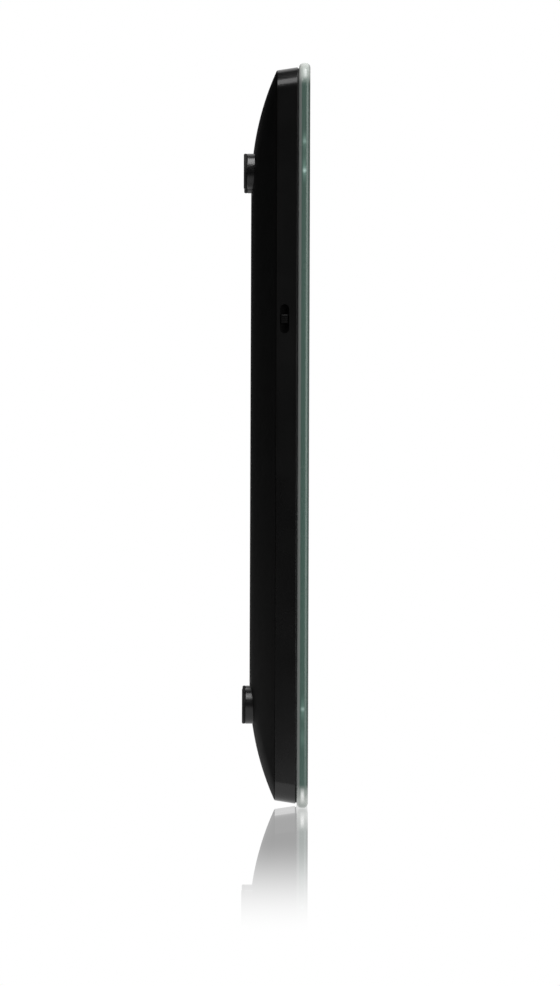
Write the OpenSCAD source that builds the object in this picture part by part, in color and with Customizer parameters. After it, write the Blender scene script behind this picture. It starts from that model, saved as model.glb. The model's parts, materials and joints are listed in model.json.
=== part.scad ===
// Slim kitchen scale: glass platform on a curved black base with four load-cell feet.
// Millimetres. +Z is up, the display is at the front (-Y), and the feet stand on Z = 0.

/* [Platform] */
// Length of the glass, front to back
glass_l = 230; // [200:1:280]
// Width of the glass
glass_w = 170; // [150:1:220]
// Thickness of the glass
glass_t = 3.5; // [3:0.1:5]
// Corner radius of the glass in plan
glass_corner_r = 7; // [5:0.5:12]
// Radius of the ground arris round the glass
glass_edge_r = 1.4; // [0.6:0.1:1.6]
// Thickness of the print on the back of the glass
print_t = 0.1; // [0.05:0.05:0.2]
// Margin of clear glass round the print
print_margin = 0.2; // [0.1:0.1:1.5]
// Thickness of the adhesive tape
tape_t = 0.3; // [0.2:0.05:0.6]
// Width of the tape frame
tape_w = 12; // [6:1:20]
// Tape set back from the edge of the housing
tape_margin = 0.3; // [0.2:0.1:1.2]

/* [Housing] */
// Height of the skirt under the glass
skirt_h = 6.0; // [5.6:0.1:8]
// How far the skirt sits in from the glass, next to it
skirt_inset_top = 1.3; // [0.8:0.1:2]
// How far the skirt sits in from the glass, at its lower edge
skirt_inset_low = 2.2; // [2:0.1:3.4]
// Plan corner radius of the skirt
skirt_corner_r = 6; // [5:0.5:10]
// Wall of the skirt at its lower edge
skirt_wall = 1.8; // [1.4:0.1:2.2]
// Thickness of the plate that carries the glass
plate_t = 1.6; // [1.2:0.1:2]
// Height of the curved belly, from flat underside to skirt
belly_h = 8.3; // [7.9:0.1:11]
// Radius of the belly's curve
belly_r = 85; // [70:1:95]
// Wall of the lower housing
shell_wall = 1.8; // [1.4:0.1:2.2]
// How much the plan corner radius grows for each millimetre inwards
belly_corner_growth = 0.35; // [0.2:0.05:0.6]
// Height of the locating lip inside the skirt
lip_h = 1.2; // [0.8:0.1:1.3]
// Thickness of the locating lip
lip_t = 1.4; // [1:0.1:1.8]
// Clearance between the lip and the skirt
lip_gap = 0.15; // [0.1:0.05:0.3]
// Depth of the ribs under the plate
rib_h = 3.0; // [2:0.1:3.2]
// Thickness of the ribs
rib_t = 1.2; // [0.8:0.1:2]

/* [Feet] */
// Diameter of a foot
foot_d = 11.0; // [10:0.1:14]
// How far the feet stand out below the underside
foot_proud = 2.3; // [1.6:0.1:3.2]
// Thickness of the rubber pad
pad_t = 1.0; // [0.6:0.1:1.2]
// Radius of the pad's lower edge
pad_edge_r = 0.45; // [0.2:0.05:0.5]
// Distance from the glass edge to a foot's centre
foot_inset = 32.2; // [32:0.1:36]
// How far the feet are set back from the middle, front to back
foot_shift_y = 1; // [0:0.5:1.5]
// Gap round a foot in the underside
foot_gap = 0.5; // [0.35:0.05:0.8]
// Travel of a foot at full load
foot_travel = 0.5; // [0.2:0.05:0.6]

/* [Load cells] */
// Side of the square load cell plate
cell_side = 28; // [26:0.5:30]
// Thickness of the load cell plate
cell_t = 1.4; // [1.2:0.1:1.8]
// Width of the load cell's outer frame
cell_frame_w = 4; // [3:0.25:4.5]
// Width of the bending beam
cell_beam_w = 8; // [6:0.5:10]
// Diameter of the pad that the foot pushes on
cell_pad_d = 10; // [8:0.5:12]
// Diameter of the foot's pin through the load cell
foot_pin_d = 3; // [2:0.1:4]
// Height of the load cell's underside above the table
cell_z = 8.2; // [8:0.1:9]
// Side of the strain gauge's potting
gauge_side = 6.4; // [5:0.1:7]
// Thickness of the potting
gauge_t = 1.2; // [1:0.1:1.6]
// Wall of the bracket outside the load cell
bracket_wall = 1.8; // [1.4:0.1:2]
// Clearance between parts that drop into one another
drop_in_gap = 0.2; // [0.1:0.05:0.3]

/* [Display] */
// Width of the display panel
lcd_w = 58; // [50:1:58]
// Length of the display panel, front to back
lcd_l = 26; // [22:1:26]
// Thickness of the display panel
lcd_t = 1.8; // [1.4:0.1:2.2]
// Thickness of the backlight
backlight_t = 2.0; // [1.5:0.1:2.4]
// Distance from the front glass edge to the display's centre
lcd_inset = 32; // [32:0.5:34]
// Width of the clear window in the print
window_w = 52; // [44:1:54]
// Length of the clear window in the print
window_l = 19; // [16:1:22]

/* [Electronics] */
// Width of the main board
board_w = 62; // [60:1:64]
// Thickness of the main board
board_t = 1.2; // [1:0.1:1.6]
// Height of the main board's underside above the table
board_z = 9.0; // [8.8:0.1:9.2]
// Outer diameter of a touch spring
spring_d = 7; // [5:0.5:8]
// Wire diameter of a touch spring
spring_wire_d = 0.6; // [0.4:0.1:0.8]
// Turns of a touch spring
spring_turns = 5; // [3:1:6]
// Diameter of a bundle of cores
lead_d = 1.2; // [0.8:0.1:1.4]

/* [Unit selector] */
// Distance from the middle of the scale to the slot, towards the front
slot_y = 36; // [30:1:38]
// Length of the slot in the skirt
slot_l = 9.0; // [8:0.1:11]
// Height of the slot in the skirt
slot_h = 2.8; // [2.4:0.1:3.2]
// Height of the slot's centre above the skirt's lower edge
slot_rise = 2.2; // [2:0.1:2.6]
// Length of the knob in the slot
knob_l = 2.6; // [2:0.1:3.4]
// How far the knob lies under the skirt's face
knob_recess = 0.5; // [0.2:0.1:0.8]
// Travel of the selector each way
selector_travel = 2.0; // [1:0.1:2.2]

/* [Battery] */
// Diameter of the coin cell
battery_d = 20; // [16:0.5:24]
// Thickness of the coin cell
battery_t = 3.2; // [2:0.1:3.4]
// Distance from the middle of the scale to the coin cell, towards the front
battery_y = 22; // [20:1:26]
// Width of the battery door
door_w = 28; // [27:0.5:32]
// Length of the battery door, front to back
door_l = 30; // [29:0.5:33]
// Thickness of the battery door
door_t = 1.6; // [1.4:0.1:2]
// Gap round the battery door
door_gap = 0.3; // [0.2:0.05:0.4]
// Radius of the door's hinge knuckle
knuckle_r = 1.2; // [1.1:0.1:1.4]
// Diameter of the door's stub pins
door_pin_d = 1.4; // [1:0.1:1.6]
// Length of each stub pin
door_pin_l = 1.6; // [1:0.1:2]
// Radial running clearance of the stub pins
pin_clearance = 0.05; // [0.02:0.01:0.1]

/* [Fasteners] */
// Shank diameter of a housing screw
screw_d = 2.6; // [2:0.1:3]
// Head diameter of a housing screw
screw_head_d = 4.8; // [4:0.1:5.4]
// Shank diameter of the small screws
small_screw_d = 2.0; // [1.6:0.1:2.2]
// Head diameter of the small screws
small_head_d = 3.8; // [3:0.1:4]
// Head height of the small screws
small_head_h = 0.8; // [0.6:0.1:1]
// Radial clearance of a screw's thread in its pilot hole
thread_clearance = 0.03; // [0.02:0.01:0.05]

/* [Hidden] */

$fn = 48;
cut = 0.5;              // how far a cutting solid runs past the face it cuts
touch_gap = 0.02;       // hair gap between pieces that only rest on each other
hull_fn = 32;

// Heights
split_z = foot_proud + belly_h;         // underside meets skirt
top_z = split_z + skirt_h;              // skirt meets tape
plate_z = top_z - plate_t;              // underside of the plate
print_z = top_z + tape_t;
glass_z = print_z + print_t;
rib_z = plate_z - rib_h;

// Plan sizes, as distances in from the glass edge
skirt_inner = skirt_inset_low + skirt_wall;
belly_run = sqrt(2 * belly_r * belly_h - pow(belly_h, 2));
belly_angle = asin(belly_run / belly_r);
belly_levels = 10;

// Left is -X, right is +X, front is -Y, back is +Y
foot_x = glass_w / 2 - foot_inset;
foot_front_y = foot_shift_y - (glass_l / 2 - foot_inset);
foot_back_y = foot_shift_y + (glass_l / 2 - foot_inset);
foot_places = [for (y = [foot_front_y, foot_back_y]) for (x = [-foot_x, foot_x]) [x, y]];
foot_hole_d = foot_d + 2 * foot_gap;
foot_flange_d = foot_d + 3;
foot_flange_t = 1.0;
foot_stem_d = 6;
foot_flange_z = cell_z - foot_flange_t - foot_travel - 0.5;

cell_top = cell_z + cell_t;
cell_opening = cell_side - 2 * cell_frame_w;
gauge_offset = cell_opening / 2 - gauge_side / 2 + 1.2;   // from the foot's centre, inwards
bracket_side = cell_side + 2 * (drop_in_gap + bracket_wall);
bracket_opening = cell_side - cell_frame_w;
bracket_ear_d = 6.4;
bracket_ear_offset = bracket_side / 2 + bracket_ear_d / 2 - 0.4;
bracket_ear_z = plate_z - 3.6;
bracket_ear_t = 1.6;

lcd_y = lcd_inset - glass_l / 2;
lcd_z = top_z - 0.1 - lcd_t;
backlight_z = lcd_z - backlight_t;
lcd_gap = 0.3;
holder_wall = 1.0;
holder_w = lcd_w + 2 * holder_wall;
holder_l = lcd_l + 2 * holder_wall;
zebra_w = 2.0;

board_top = board_z + board_t;
board_front_y = lcd_y - holder_l / 2 - 5;
board_back_y = lcd_y + holder_l / 2 + 20;
board_l = board_back_y - board_front_y;
post_d = 4.6;
post_places = [for (y = [board_front_y + 2.4, board_back_y - 9.5]) for (s = [-1, 1])
    [s * (board_w / 2 - 3.2), y]];
spring_y = lcd_y + holder_l / 2 + 7;
spring_x = 16;
spring_hole_d = spring_d + 2;
chip_y = spring_y + 1;
chip_drop_d = 13;
chip_drop_h = 1.6;

connector_w = 5.4;
connector_l = 5;
connector_h = 3.2;
connector_pitch = 8;
connector_slots = [-3, -1, 0, 1, 2, 3];
connector_y = board_back_y - connector_l;
lead_z = board_top + 1.1;
lead_r = lead_d / 2;

slot_z = split_z + slot_rise;
side_x = glass_w / 2;
wall_x = side_x - skirt_inner;                // inner face of the skirt
slot_face_x = side_x - skirt_inset_low
    + (skirt_inset_low - skirt_inset_top) * slot_rise / skirt_h;
slider_t = 1.2;
slider_gap = 0.2;
slider_l = slot_l + 2 * selector_travel + 1;
slider_h = slot_h + 1.2;
selector_way = slider_l + 2 * selector_travel + 0.8;    // room along the skirt that the slider runs in
switch_l = 8.6;
switch_h = 3.4;
switch_depth = 3.4;
lever_l = 1.6;
lever_h = 1.4;
lever_reach = 1.6;
slider_x = wall_x - slider_gap - slider_t;
switch_x = slider_x - lever_reach;
switch_board_x = switch_x - switch_depth;
switch_board_t = 1.0;
switch_board_l = 15;
switch_board_h = plate_z - split_z - 0.5;

battery_z = foot_proud + door_t + 0.1;
bay_r = battery_d / 2 + 0.4;
bay_top = battery_z + battery_t + 1.2;
bay_roof = 1.2;
block_margin = 3;
door_recess_z = battery_z;
hinge_y = door_l / 2 - battery_y - knuckle_r;
hinge_z = foot_proud + knuckle_r;
contact_t = 0.3;
contact_w = 5;
nib_reach = 0.2;
scoop_d = 9;
contact_tail = bay_top + bay_roof + 1.6;
tail_x_positive = -bay_r - 0.9;
tail_x_negative = bay_r - 2.9;

housing_boss_d = 7.6;
housing_hole_d = screw_d + 0.4;
head_recess_d = screw_head_d + 0.6;
head_h = 1.5;
head_seat_z = split_z - 1.6;
boss_inset = skirt_inset_low + belly_run + head_recess_d / 2 + 1.5;    // on the flat of the underside
side_boss_offset = bracket_side / 2 + 12;
screw_places = concat(
    [for (s = [-1, 1]) for (y = [foot_front_y + side_boss_offset, foot_back_y - side_boss_offset])
        [s * (glass_w / 2 - boss_inset), y]],
    [[0, glass_l / 2 - boss_inset]]);
screw_top_z = plate_z - 0.4;

// ---------- shared shapes ----------

// A rounded rectangle whose size is given as its distance in from the glass edge
module plan(inset, r) {
    slab(glass_w - 2 * inset, glass_l - 2 * inset, r);
}

// A rectangle with true round corners, centred
module slab(w, l, r) {
    square([w - 2 * r, l], center = true);
    square([w, l - 2 * r], center = true);
    for (x = [-1, 1]) for (y = [-1, 1]) translate([x * (w / 2 - r), y * (l / 2 - r)]) circle(r);
}

module plan_layer(z, inset, r, h = 0.01) {
    translate([0, 0, z]) linear_extrude(h) plan(inset, r, $fn = hull_fn);
}

module block(w, l, h, r, z = 0) {
    translate([0, 0, z]) linear_extrude(h) slab(w, l, r);
}

module at_each(places) {
    for (p = places) translate([p[0], p[1], 0]) children();
}

module post(d, z_low, z_high) {
    translate([0, 0, z_low]) cylinder(d = d, h = z_high - z_low);
}

// A pan-head screw that points up, its head under seat_z
module screw(shank_d, head_d, head_h, seat_z, end_z) {
    difference() {
        union() {
            post(head_d, seat_z - head_h, seat_z);
            post(shank_d, seat_z - cut, end_z);
        }
        for (a = [0, 90]) rotate([0, 0, a])
            translate([-head_d * 0.32, -0.3, seat_z - head_h - cut])
                cube([head_d * 0.64, 0.6, cut + head_h / 2]);
    }
}

// Catmull-Rom points along a route
function spline(a, b, c, d, t) =
    0.5 * (2 * b + (c - a) * t + (2 * a - 5 * b + 4 * c - d) * pow(t, 2)
    + (3 * b - a - 3 * c + d) * pow(t, 3));
function smooth(p, steps = 5) = let (last = len(p) - 1) concat(
    [for (i = [0:last - 1]) for (k = [0:steps - 1])
        spline(p[max(i - 1, 0)], p[i], p[i + 1], p[min(i + 2, last)], k / steps)],
    [p[last]]);
function unit(v) = v / norm(v);
function heading(p, i) = unit(p[min(i + 1, len(p) - 1)] - p[max(i - 1, 0)]);
function ring(p, i, r, sides) =
    let (t = heading(p, i), across = unit(cross([0, 0, 1], t)), up = cross(t, across))
    [for (j = [0:sides - 1]) p[i] + r * (cos(360 * j / sides) * across + sin(360 * j / sides) * up)];

// A route that leaves its first point and meets its last one squarely
function lead_route(start, out, between, end, back) =
    concat([start], smooth(concat([start + out], between, [end + back])), [end]);

// A closed tube along a route that never stands upright
module tube(route, r, sides = 8) {
    count = len(route);
    polyhedron(
        points = [for (i = [0:count - 1]) each ring(route, i, r, sides)],
        faces = concat(
            [[for (j = [0:sides - 1]) j]],
            [for (i = [0:count - 2]) for (j = [0:sides - 1]) let (k = (j + 1) % sides)
                [i * sides + j, (i + 1) * sides + j, (i + 1) * sides + k, i * sides + k]],
            [[for (j = [sides - 1:-1:0]) (count - 1) * sides + j]]));
}

// ---------- platform ----------

module glass_platform() {
    steps = 6;
    color([0.62, 0.78, 0.72, 0.5]) translate([0, 0, glass_z]) hull()
        for (k = [0:steps]) let (a = 90 * k / steps, inset = glass_edge_r * (1 - sin(a))) {
            lift = glass_edge_r * (1 - cos(a));
            plan_layer(lift, inset, glass_corner_r - inset);
            plan_layer(glass_t - lift - 0.01, inset, glass_corner_r - inset);
        }
}

module printed_layer() {
    color([0.03, 0.03, 0.03]) translate([0, 0, print_z]) linear_extrude(print_t) difference() {
        plan(print_margin + glass_edge_r, glass_corner_r - print_margin - glass_edge_r);
        translate([0, lcd_y]) slab(window_w, window_l, 1.5);
    }
}

module adhesive_tape() {
    color([0.1, 0.1, 0.1]) translate([0, 0, top_z]) linear_extrude(tape_t) difference() {
        plan(skirt_inset_top + tape_margin, skirt_corner_r - tape_margin);
        plan(skirt_inset_top + tape_margin + tape_w, 2);
    }
}

// ---------- upper housing ----------

module skirt_outer() {
    hull() {
        plan_layer(split_z, skirt_inset_low, skirt_corner_r);
        plan_layer(top_z - 0.01, skirt_inset_top, skirt_corner_r);
    }
}

module plate_ribs() {
    rib_front_y = board_back_y + 3;
    rib_back_y = glass_l / 2 - skirt_inner;
    rib_side_x = wall_x + cut;
    for (x = [-24, 24]) translate([x - rib_t / 2, rib_front_y, rib_z])
        cube([rib_t, rib_back_y - rib_front_y + cut, rib_h + cut]);
    for (y = [rib_front_y, -12, 18, 48]) translate([-rib_side_x, y - rib_t / 2, rib_z])
        cube([2 * rib_side_x, rib_t, rib_h + cut]);
}

// Two posts whose slots hold the selector's little board
module switch_posts() {
    post_w = 3.4;
    post_wall = 1.4;
    post_z = rib_z - 0.6;
    back_x = switch_board_x - switch_board_t;
    for (s = [-1, 1]) difference() {
        translate([back_x - post_wall, s * switch_board_l / 2 - slot_y - post_w / 2, post_z])
            cube([switch_board_t + 2 * post_wall, post_w, plate_z - post_z + cut]);
        translate([back_x - drop_in_gap / 2, -slot_y - switch_board_l / 2 - drop_in_gap, post_z - cut])
            cube([switch_board_t + drop_in_gap, switch_board_l + 2 * drop_in_gap, plate_z - post_z + cut]);
    }
}

module upper_housing() {
    color([0.05, 0.05, 0.05]) difference() {
        union() {
            difference() {
                skirt_outer();
                translate([0, 0, split_z - cut]) linear_extrude(skirt_h - plate_t + cut)
                    plan(skirt_inner, skirt_corner_r - skirt_wall);
            }
            plate_ribs();
            switch_posts();
            at_each(screw_places) post(housing_boss_d, split_z, plate_z + cut);
            at_each(post_places) post(post_d, board_top, plate_z + cut);
            for (p = foot_places) translate([p[0], p[1] - sign(p[1]) * bracket_ear_offset, 0])
                post(bracket_ear_d, bracket_ear_z + bracket_ear_t, plate_z + cut);
        }
        at_each(screw_places) post(screw_d + 2 * thread_clearance, split_z - cut, screw_top_z + 0.2);
        at_each(post_places) post(small_screw_d + 2 * thread_clearance, board_top - cut, plate_z + 0.3);
        for (p = foot_places) translate([p[0], p[1] - sign(p[1]) * bracket_ear_offset, 0])
            post(small_screw_d + 2 * thread_clearance, bracket_ear_z, plate_z + 0.3);
        translate([0, lcd_y, 0])
            block(lcd_w + 2 * lcd_gap, lcd_l + 2 * lcd_gap, plate_t + 2 * cut, 0.8, plate_z - cut);
        for (s = [-1, 1]) translate([s * spring_x, spring_y, 0])
            post(spring_hole_d, plate_z - cut, top_z + cut);
        // Slot of the unit selector, with round ends
        translate([wall_x - cut, -slot_y, slot_z]) rotate([90, 0, 90])
            linear_extrude(skirt_inner + cut) slab(slot_l, slot_h, slot_h / 2 - 0.05);
        // Way for the slider's plate, where ribs and bosses would meet it
        translate([switch_x - 0.4, -slot_y - selector_way / 2, rib_z - 1])
            cube([wall_x - switch_x + 0.4, selector_way, plate_z - rib_z + 1]);
        // Ribs stay clear of the brackets
        at_each(foot_places)
            block(bracket_side + 0.6, bracket_side + 0.6, plate_z - split_z, 1, split_z);
    }
}

// ---------- lower housing ----------

function belly_inset(r, a) = skirt_inset_low + belly_run - r * sin(a);
function belly_z(r, a) = foot_proud + belly_r - r * cos(a);
function belly_corner(inset) = skirt_corner_r + belly_corner_growth * (inset - skirt_inset_low);

module belly(r, end_angle) {
    hull() {
        for (k = [0:belly_levels]) let (a = end_angle * k / belly_levels, inset = belly_inset(r, a))
            plan_layer(belly_z(r, a) - (k == belly_levels ? 0.01 : 0), inset, belly_corner(inset));
    }
}

module bay_cut() {
    // Recess of the door, its hinge groove and the pin sockets
    translate([0, -battery_y, foot_proud - cut]) linear_extrude(door_recess_z - foot_proud + cut)
        slab(door_w + 2 * door_gap, door_l + 2 * door_gap, 1);
    translate([-(door_w / 2 + door_gap), hinge_y, hinge_z]) rotate([0, 90, 0])
        cylinder(r = knuckle_r + door_gap, h = door_w + 2 * door_gap);
    translate([-(door_w / 2 + door_pin_l + 0.2), hinge_y, hinge_z]) rotate([0, 90, 0])
        cylinder(d = door_pin_d + 2 * pin_clearance, h = door_w + 2 * door_pin_l + 0.4);
    // Round bay for the coin cell, with a slot for each contact's tail
    translate([0, -battery_y, 0]) post(2 * bay_r, foot_proud, bay_top);
    translate([-bay_r - 1.2, -battery_y - contact_w / 2 - 0.3, door_recess_z - cut])
        cube([bay_r + 1.2, contact_w + 0.6, bay_top - door_recess_z + cut]);
    translate([-bay_r - 1.2, -battery_y - contact_w / 2 - 0.3, bay_top - cut])
        cube([contact_t + 0.8, contact_w + 0.6, bay_roof + 2 * cut]);
    translate([bay_r - 3.2, -battery_y - contact_w / 2 - 0.3, bay_top - cut])
        cube([contact_t + 0.8, contact_w + 0.6, bay_roof + 2 * cut]);
    // Nail scoop in front of the door
    translate([0, -battery_y - door_l / 2 - scoop_d / 2 + 0.5, 0])
        post(scoop_d, foot_proud - cut, foot_proud + shell_wall / 2);
}

module lower_housing() {
    hollow_angle = acos((belly_r - belly_h) / (belly_r - shell_wall));
    color([0.03, 0.03, 0.03]) difference() {
        union() {
            difference() {
                belly(belly_r, belly_angle);
                difference() {
                    translate([0, 0, 0.02]) belly(belly_r - shell_wall, hollow_angle);
                    at_each(screw_places) post(housing_boss_d, 0, split_z + cut);
                    translate([0, -battery_y, 0]) linear_extrude(bay_top + bay_roof)
                        slab(door_w + 2 * block_margin, door_l + 2 * block_margin, 2);
                }
            }
            translate([0, 0, split_z - 1]) linear_extrude(lip_h + 1) difference() {
                plan(skirt_inner + lip_gap, skirt_corner_r - skirt_wall - lip_gap);
                plan(skirt_inner + lip_gap + lip_t, skirt_corner_r - skirt_wall - lip_gap - lip_t);
            }
        }
        at_each(screw_places) {
            post(head_recess_d, -cut, head_seat_z);
            post(housing_hole_d, 0, split_z + cut);
        }
        at_each(foot_places) post(foot_hole_d, -cut, split_z - 1);
        bay_cut();
        // The lip is left out where the selector runs
        translate([wall_x - 5, -slot_y - selector_way / 2, split_z])
            cube([6, selector_way, lip_h + cut]);
    }
}

// ---------- display ----------

module lcd_panel() {
    color([0.55, 0.6, 0.55]) translate([0, lcd_y, lcd_z])
        translate([-lcd_w / 2, -lcd_l / 2, 0]) cube([lcd_w, lcd_l, lcd_t]);
}

module lcd_backlight() {
    color([0.92, 0.92, 0.9]) translate([0, lcd_y - zebra_w / 2, backlight_z])
        translate([-lcd_w / 2 + drop_in_gap, -(lcd_l - zebra_w) / 2 + drop_in_gap, 0])
            cube([lcd_w - 2 * drop_in_gap, lcd_l - zebra_w - 2 * drop_in_gap, backlight_t - touch_gap]);
}

module lcd_holder() {
    color([0.9, 0.9, 0.88]) translate([0, lcd_y, 0]) difference() {
        block(holder_w - 0.2, holder_l - 0.2, plate_z - board_top - 0.2, 0.8, board_top);
        translate([-lcd_w / 2 - 0.1, -lcd_l / 2 - 0.1, lcd_z])
            cube([lcd_w + 0.2, lcd_l + 0.2, lcd_t]);
        translate([-lcd_w / 2, -lcd_l / 2, backlight_z])
            cube([lcd_w, lcd_l - zebra_w, backlight_t + cut]);
        translate([-lcd_w / 2 + 3, -lcd_l / 2 + 3, board_top - cut])
            cube([lcd_w - 6, lcd_l - zebra_w - 5.5, backlight_z - board_top + 2 * cut]);
        translate([-lcd_w / 2 + 2, lcd_l / 2 - zebra_w, board_top - cut])
            cube([lcd_w - 4, zebra_w, lcd_z - board_top + 2 * cut]);
    }
}

module zebra_strip() {
    color([0.85, 0.5, 0.6]) translate([-lcd_w / 2 + 2.2, lcd_y + lcd_l / 2 - zebra_w + 0.2, board_top])
        cube([lcd_w - 4.4, zebra_w - 0.4, lcd_z - board_top - touch_gap]);
}

// ---------- electronics ----------

module main_board() {
    color([0.1, 0.35, 0.2]) difference() {
        translate([0, board_front_y + board_l / 2, 0]) block(board_w, board_l, board_t, 1, board_z);
        at_each(post_places) post(small_screw_d + 0.4, board_z - cut, board_top + cut);
    }
}

// The controller is bonded straight to the board under a drop of epoxy
module controller_chip() {
    steps = 8;
    color([0.04, 0.04, 0.04]) translate([0, chip_y, board_top]) rotate_extrude() polygon(concat(
        [[0, 0]],
        [for (k = [0:steps]) let (a = 90 * k / steps) [chip_drop_d / 2 * cos(a), chip_drop_h * sin(a)]]));
}

module board_components() {
    color([0.25, 0.2, 0.15]) {
        for (k = [0:5]) translate([-8.5 + 3 * k, spring_y - 6.6, board_top]) cube([1.6, 0.8, 0.7]);
        for (s = [-1, 1]) for (k = [0:1])
            translate([s * 11 - 0.8, chip_y + 2 - 4 * k, board_top]) cube([1.6, 0.8, 0.7]);
    }
    // Quartz crystal can and a smoothing capacitor
    color([0.75, 0.75, 0.75]) {
        translate([25, spring_y - 4, board_top]) post(3, 0, 4);
        translate([-25, spring_y - 4, board_top]) post(4, 0, 4);
    }
}

module lead_connectors() {
    color([0.92, 0.9, 0.85]) for (k = connector_slots)
        translate([k * connector_pitch - connector_w / 2, connector_y, board_top]) difference() {
            cube([connector_w, connector_l, connector_h]);
            translate([0.8, -cut, 0.8]) cube([connector_w - 1.6, connector_l / 2, connector_h]);
        }
}

module touch_spring(x) {
    rise = print_z - board_top - spring_wire_d - 0.1;
    steps = 14;
    r = (spring_d - spring_wire_d) / 2;
    last = spring_turns * steps;
    color([0.8, 0.75, 0.6]) translate([x, spring_y, board_top + spring_wire_d / 2 + 0.05])
        tube([for (k = [0:last]) let (a = 360 * k / steps) [r * cos(a), r * sin(a), rise * k / last]],
            spring_wire_d / 2, 8);
}
module touch_spring_left() { touch_spring(-spring_x); }
module touch_spring_right() { touch_spring(spring_x); }

// ---------- unit selector ----------

module unit_slider() {
    knob_h = slot_h - 0.5;
    color([0.08, 0.08, 0.08]) difference() {
        union() {
            translate([slider_x, -slot_y - slider_l / 2, slot_z - slider_h / 2])
                cube([slider_t, slider_l, slider_h]);
            translate([slider_x + slider_t - cut, -slot_y - knob_l / 2, slot_z - knob_h / 2])
                cube([slot_face_x - knob_recess - slider_x - slider_t + cut, knob_l, knob_h]);
        }
        // Pocket that takes the switch lever
        translate([slider_x - cut, -slot_y - lever_l / 2 - 0.05, slot_z - lever_h / 2 - 0.05])
            cube([cut + 0.8, lever_l + 0.1, lever_h + 0.1]);
    }
}

module unit_switch_lever() {
    color([0.9, 0.9, 0.9]) translate([switch_x - 0.8, -slot_y - lever_l / 2, slot_z - lever_h / 2])
        cube([lever_reach + 1.5, lever_l, lever_h]);
}

module unit_switch_body() {
    color([0.75, 0.75, 0.77]) difference() {
        translate([switch_board_x, -slot_y - switch_l / 2, slot_z - switch_h / 2])
            cube([switch_depth - 0.1, switch_l, switch_h]);
        lever_way = lever_l + 2 * selector_travel + 2 * drop_in_gap;
        translate([switch_x - 1.6, -slot_y - lever_way / 2, slot_z - lever_h / 2 - drop_in_gap])
            cube([2, lever_way, lever_h + 2 * drop_in_gap]);
    }
}

module unit_switch_board() {
    color([0.1, 0.35, 0.2])
        translate([switch_board_x - switch_board_t, -slot_y - switch_board_l / 2,
            plate_z - switch_board_h - 0.05])
            cube([switch_board_t - touch_gap, switch_board_l, switch_board_h]);
}

// ---------- battery ----------

module battery_door() {
    color([0.04, 0.04, 0.04]) difference() {
        union() {
            translate([0, -battery_y, foot_proud]) linear_extrude(door_t) difference() {
                slab(door_w, door_l, 0.8);
                translate([-door_w, door_l / 2 - knuckle_r]) square([2 * door_w, 2 * knuckle_r]);
            }
            translate([-door_w / 2, hinge_y, hinge_z]) rotate([0, 90, 0]) cylinder(r = knuckle_r, h = door_w);
            translate([-door_w / 2 - door_pin_l, hinge_y, hinge_z]) rotate([0, 90, 0])
                cylinder(d = door_pin_d, h = door_w + 2 * door_pin_l);
            // Snap nib on the front edge
            translate([-3, -battery_y - door_l / 2 - nib_reach, foot_proud + 0.6]) cube([6, 1, 0.6]);
        }
        // Grip grooves under the door
        for (k = [0:4]) translate([-6, -battery_y - door_l / 2 + 2.4 + 1.4 * k, foot_proud - cut])
            cube([12, 0.6, cut + 0.35]);
    }
}

module coin_battery() {
    color([0.8, 0.8, 0.82]) translate([0, -battery_y, 0]) {
        post(battery_d - 1.6, battery_z + battery_t - 1, battery_z + battery_t);
        post(battery_d, battery_z, battery_z + battery_t - 0.35);
    }
}

// A strip bent from sheet, drawn as a side outline and given its width along Y
module bent_strip(outline) {
    translate([0, -battery_y + contact_w / 2, 0]) rotate([90, 0, 0])
        linear_extrude(contact_w) polygon(outline);
}

module battery_contact_positive() {
    x = tail_x_positive;
    touch_x = -battery_d / 2 - touch_gap;
    low = battery_z + 0.5;
    mid = battery_z + 1.5;
    high = battery_z + 2.5;
    color([0.85, 0.8, 0.6]) bent_strip([
        [x, low], [x + contact_t, low], [touch_x, mid], [x + contact_t, high],
        [x + contact_t, contact_tail], [x, contact_tail], [x, high], [touch_x - contact_t * 1.4, mid]]);
}

module battery_contact_negative() {
    x = tail_x_negative;
    top = bay_top - 0.1;
    touch_z = battery_z + battery_t + touch_gap;
    color([0.85, 0.8, 0.6]) bent_strip([
        [-6, top], [-6, top - contact_t], [-3, touch_z], [0, top - contact_t],
        [x + contact_t, top - contact_t], [x + contact_t, contact_tail], [x, contact_tail], [x, top],
        [-0.5, top], [-3, touch_z + contact_t * 1.2], [-5, top]]);
}

// ---------- load cells and feet ----------

module load_cell(p) {
    inwards = -sign(p[0]);
    color([0.7, 0.7, 0.72]) translate([p[0], p[1], cell_z]) linear_extrude(cell_t) difference() {
        union() {
            difference() {
                slab(cell_side, cell_side, 3);
                slab(cell_opening, cell_opening, 1.5);
            }
            translate([inwards > 0 ? 0 : -cell_side / 2 + 1, -cell_beam_w / 2])
                square([cell_side / 2 - 1, cell_beam_w]);
            circle(d = cell_pad_d);
        }
        circle(d = foot_pin_d + 0.2);
    }
}

module strain_gauge(p) {
    color([0.95, 0.95, 0.95]) translate([p[0] - sign(p[0]) * gauge_offset, p[1], 0])
        block(gauge_side, gauge_side, gauge_t, 1.5, cell_top);
}

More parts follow.
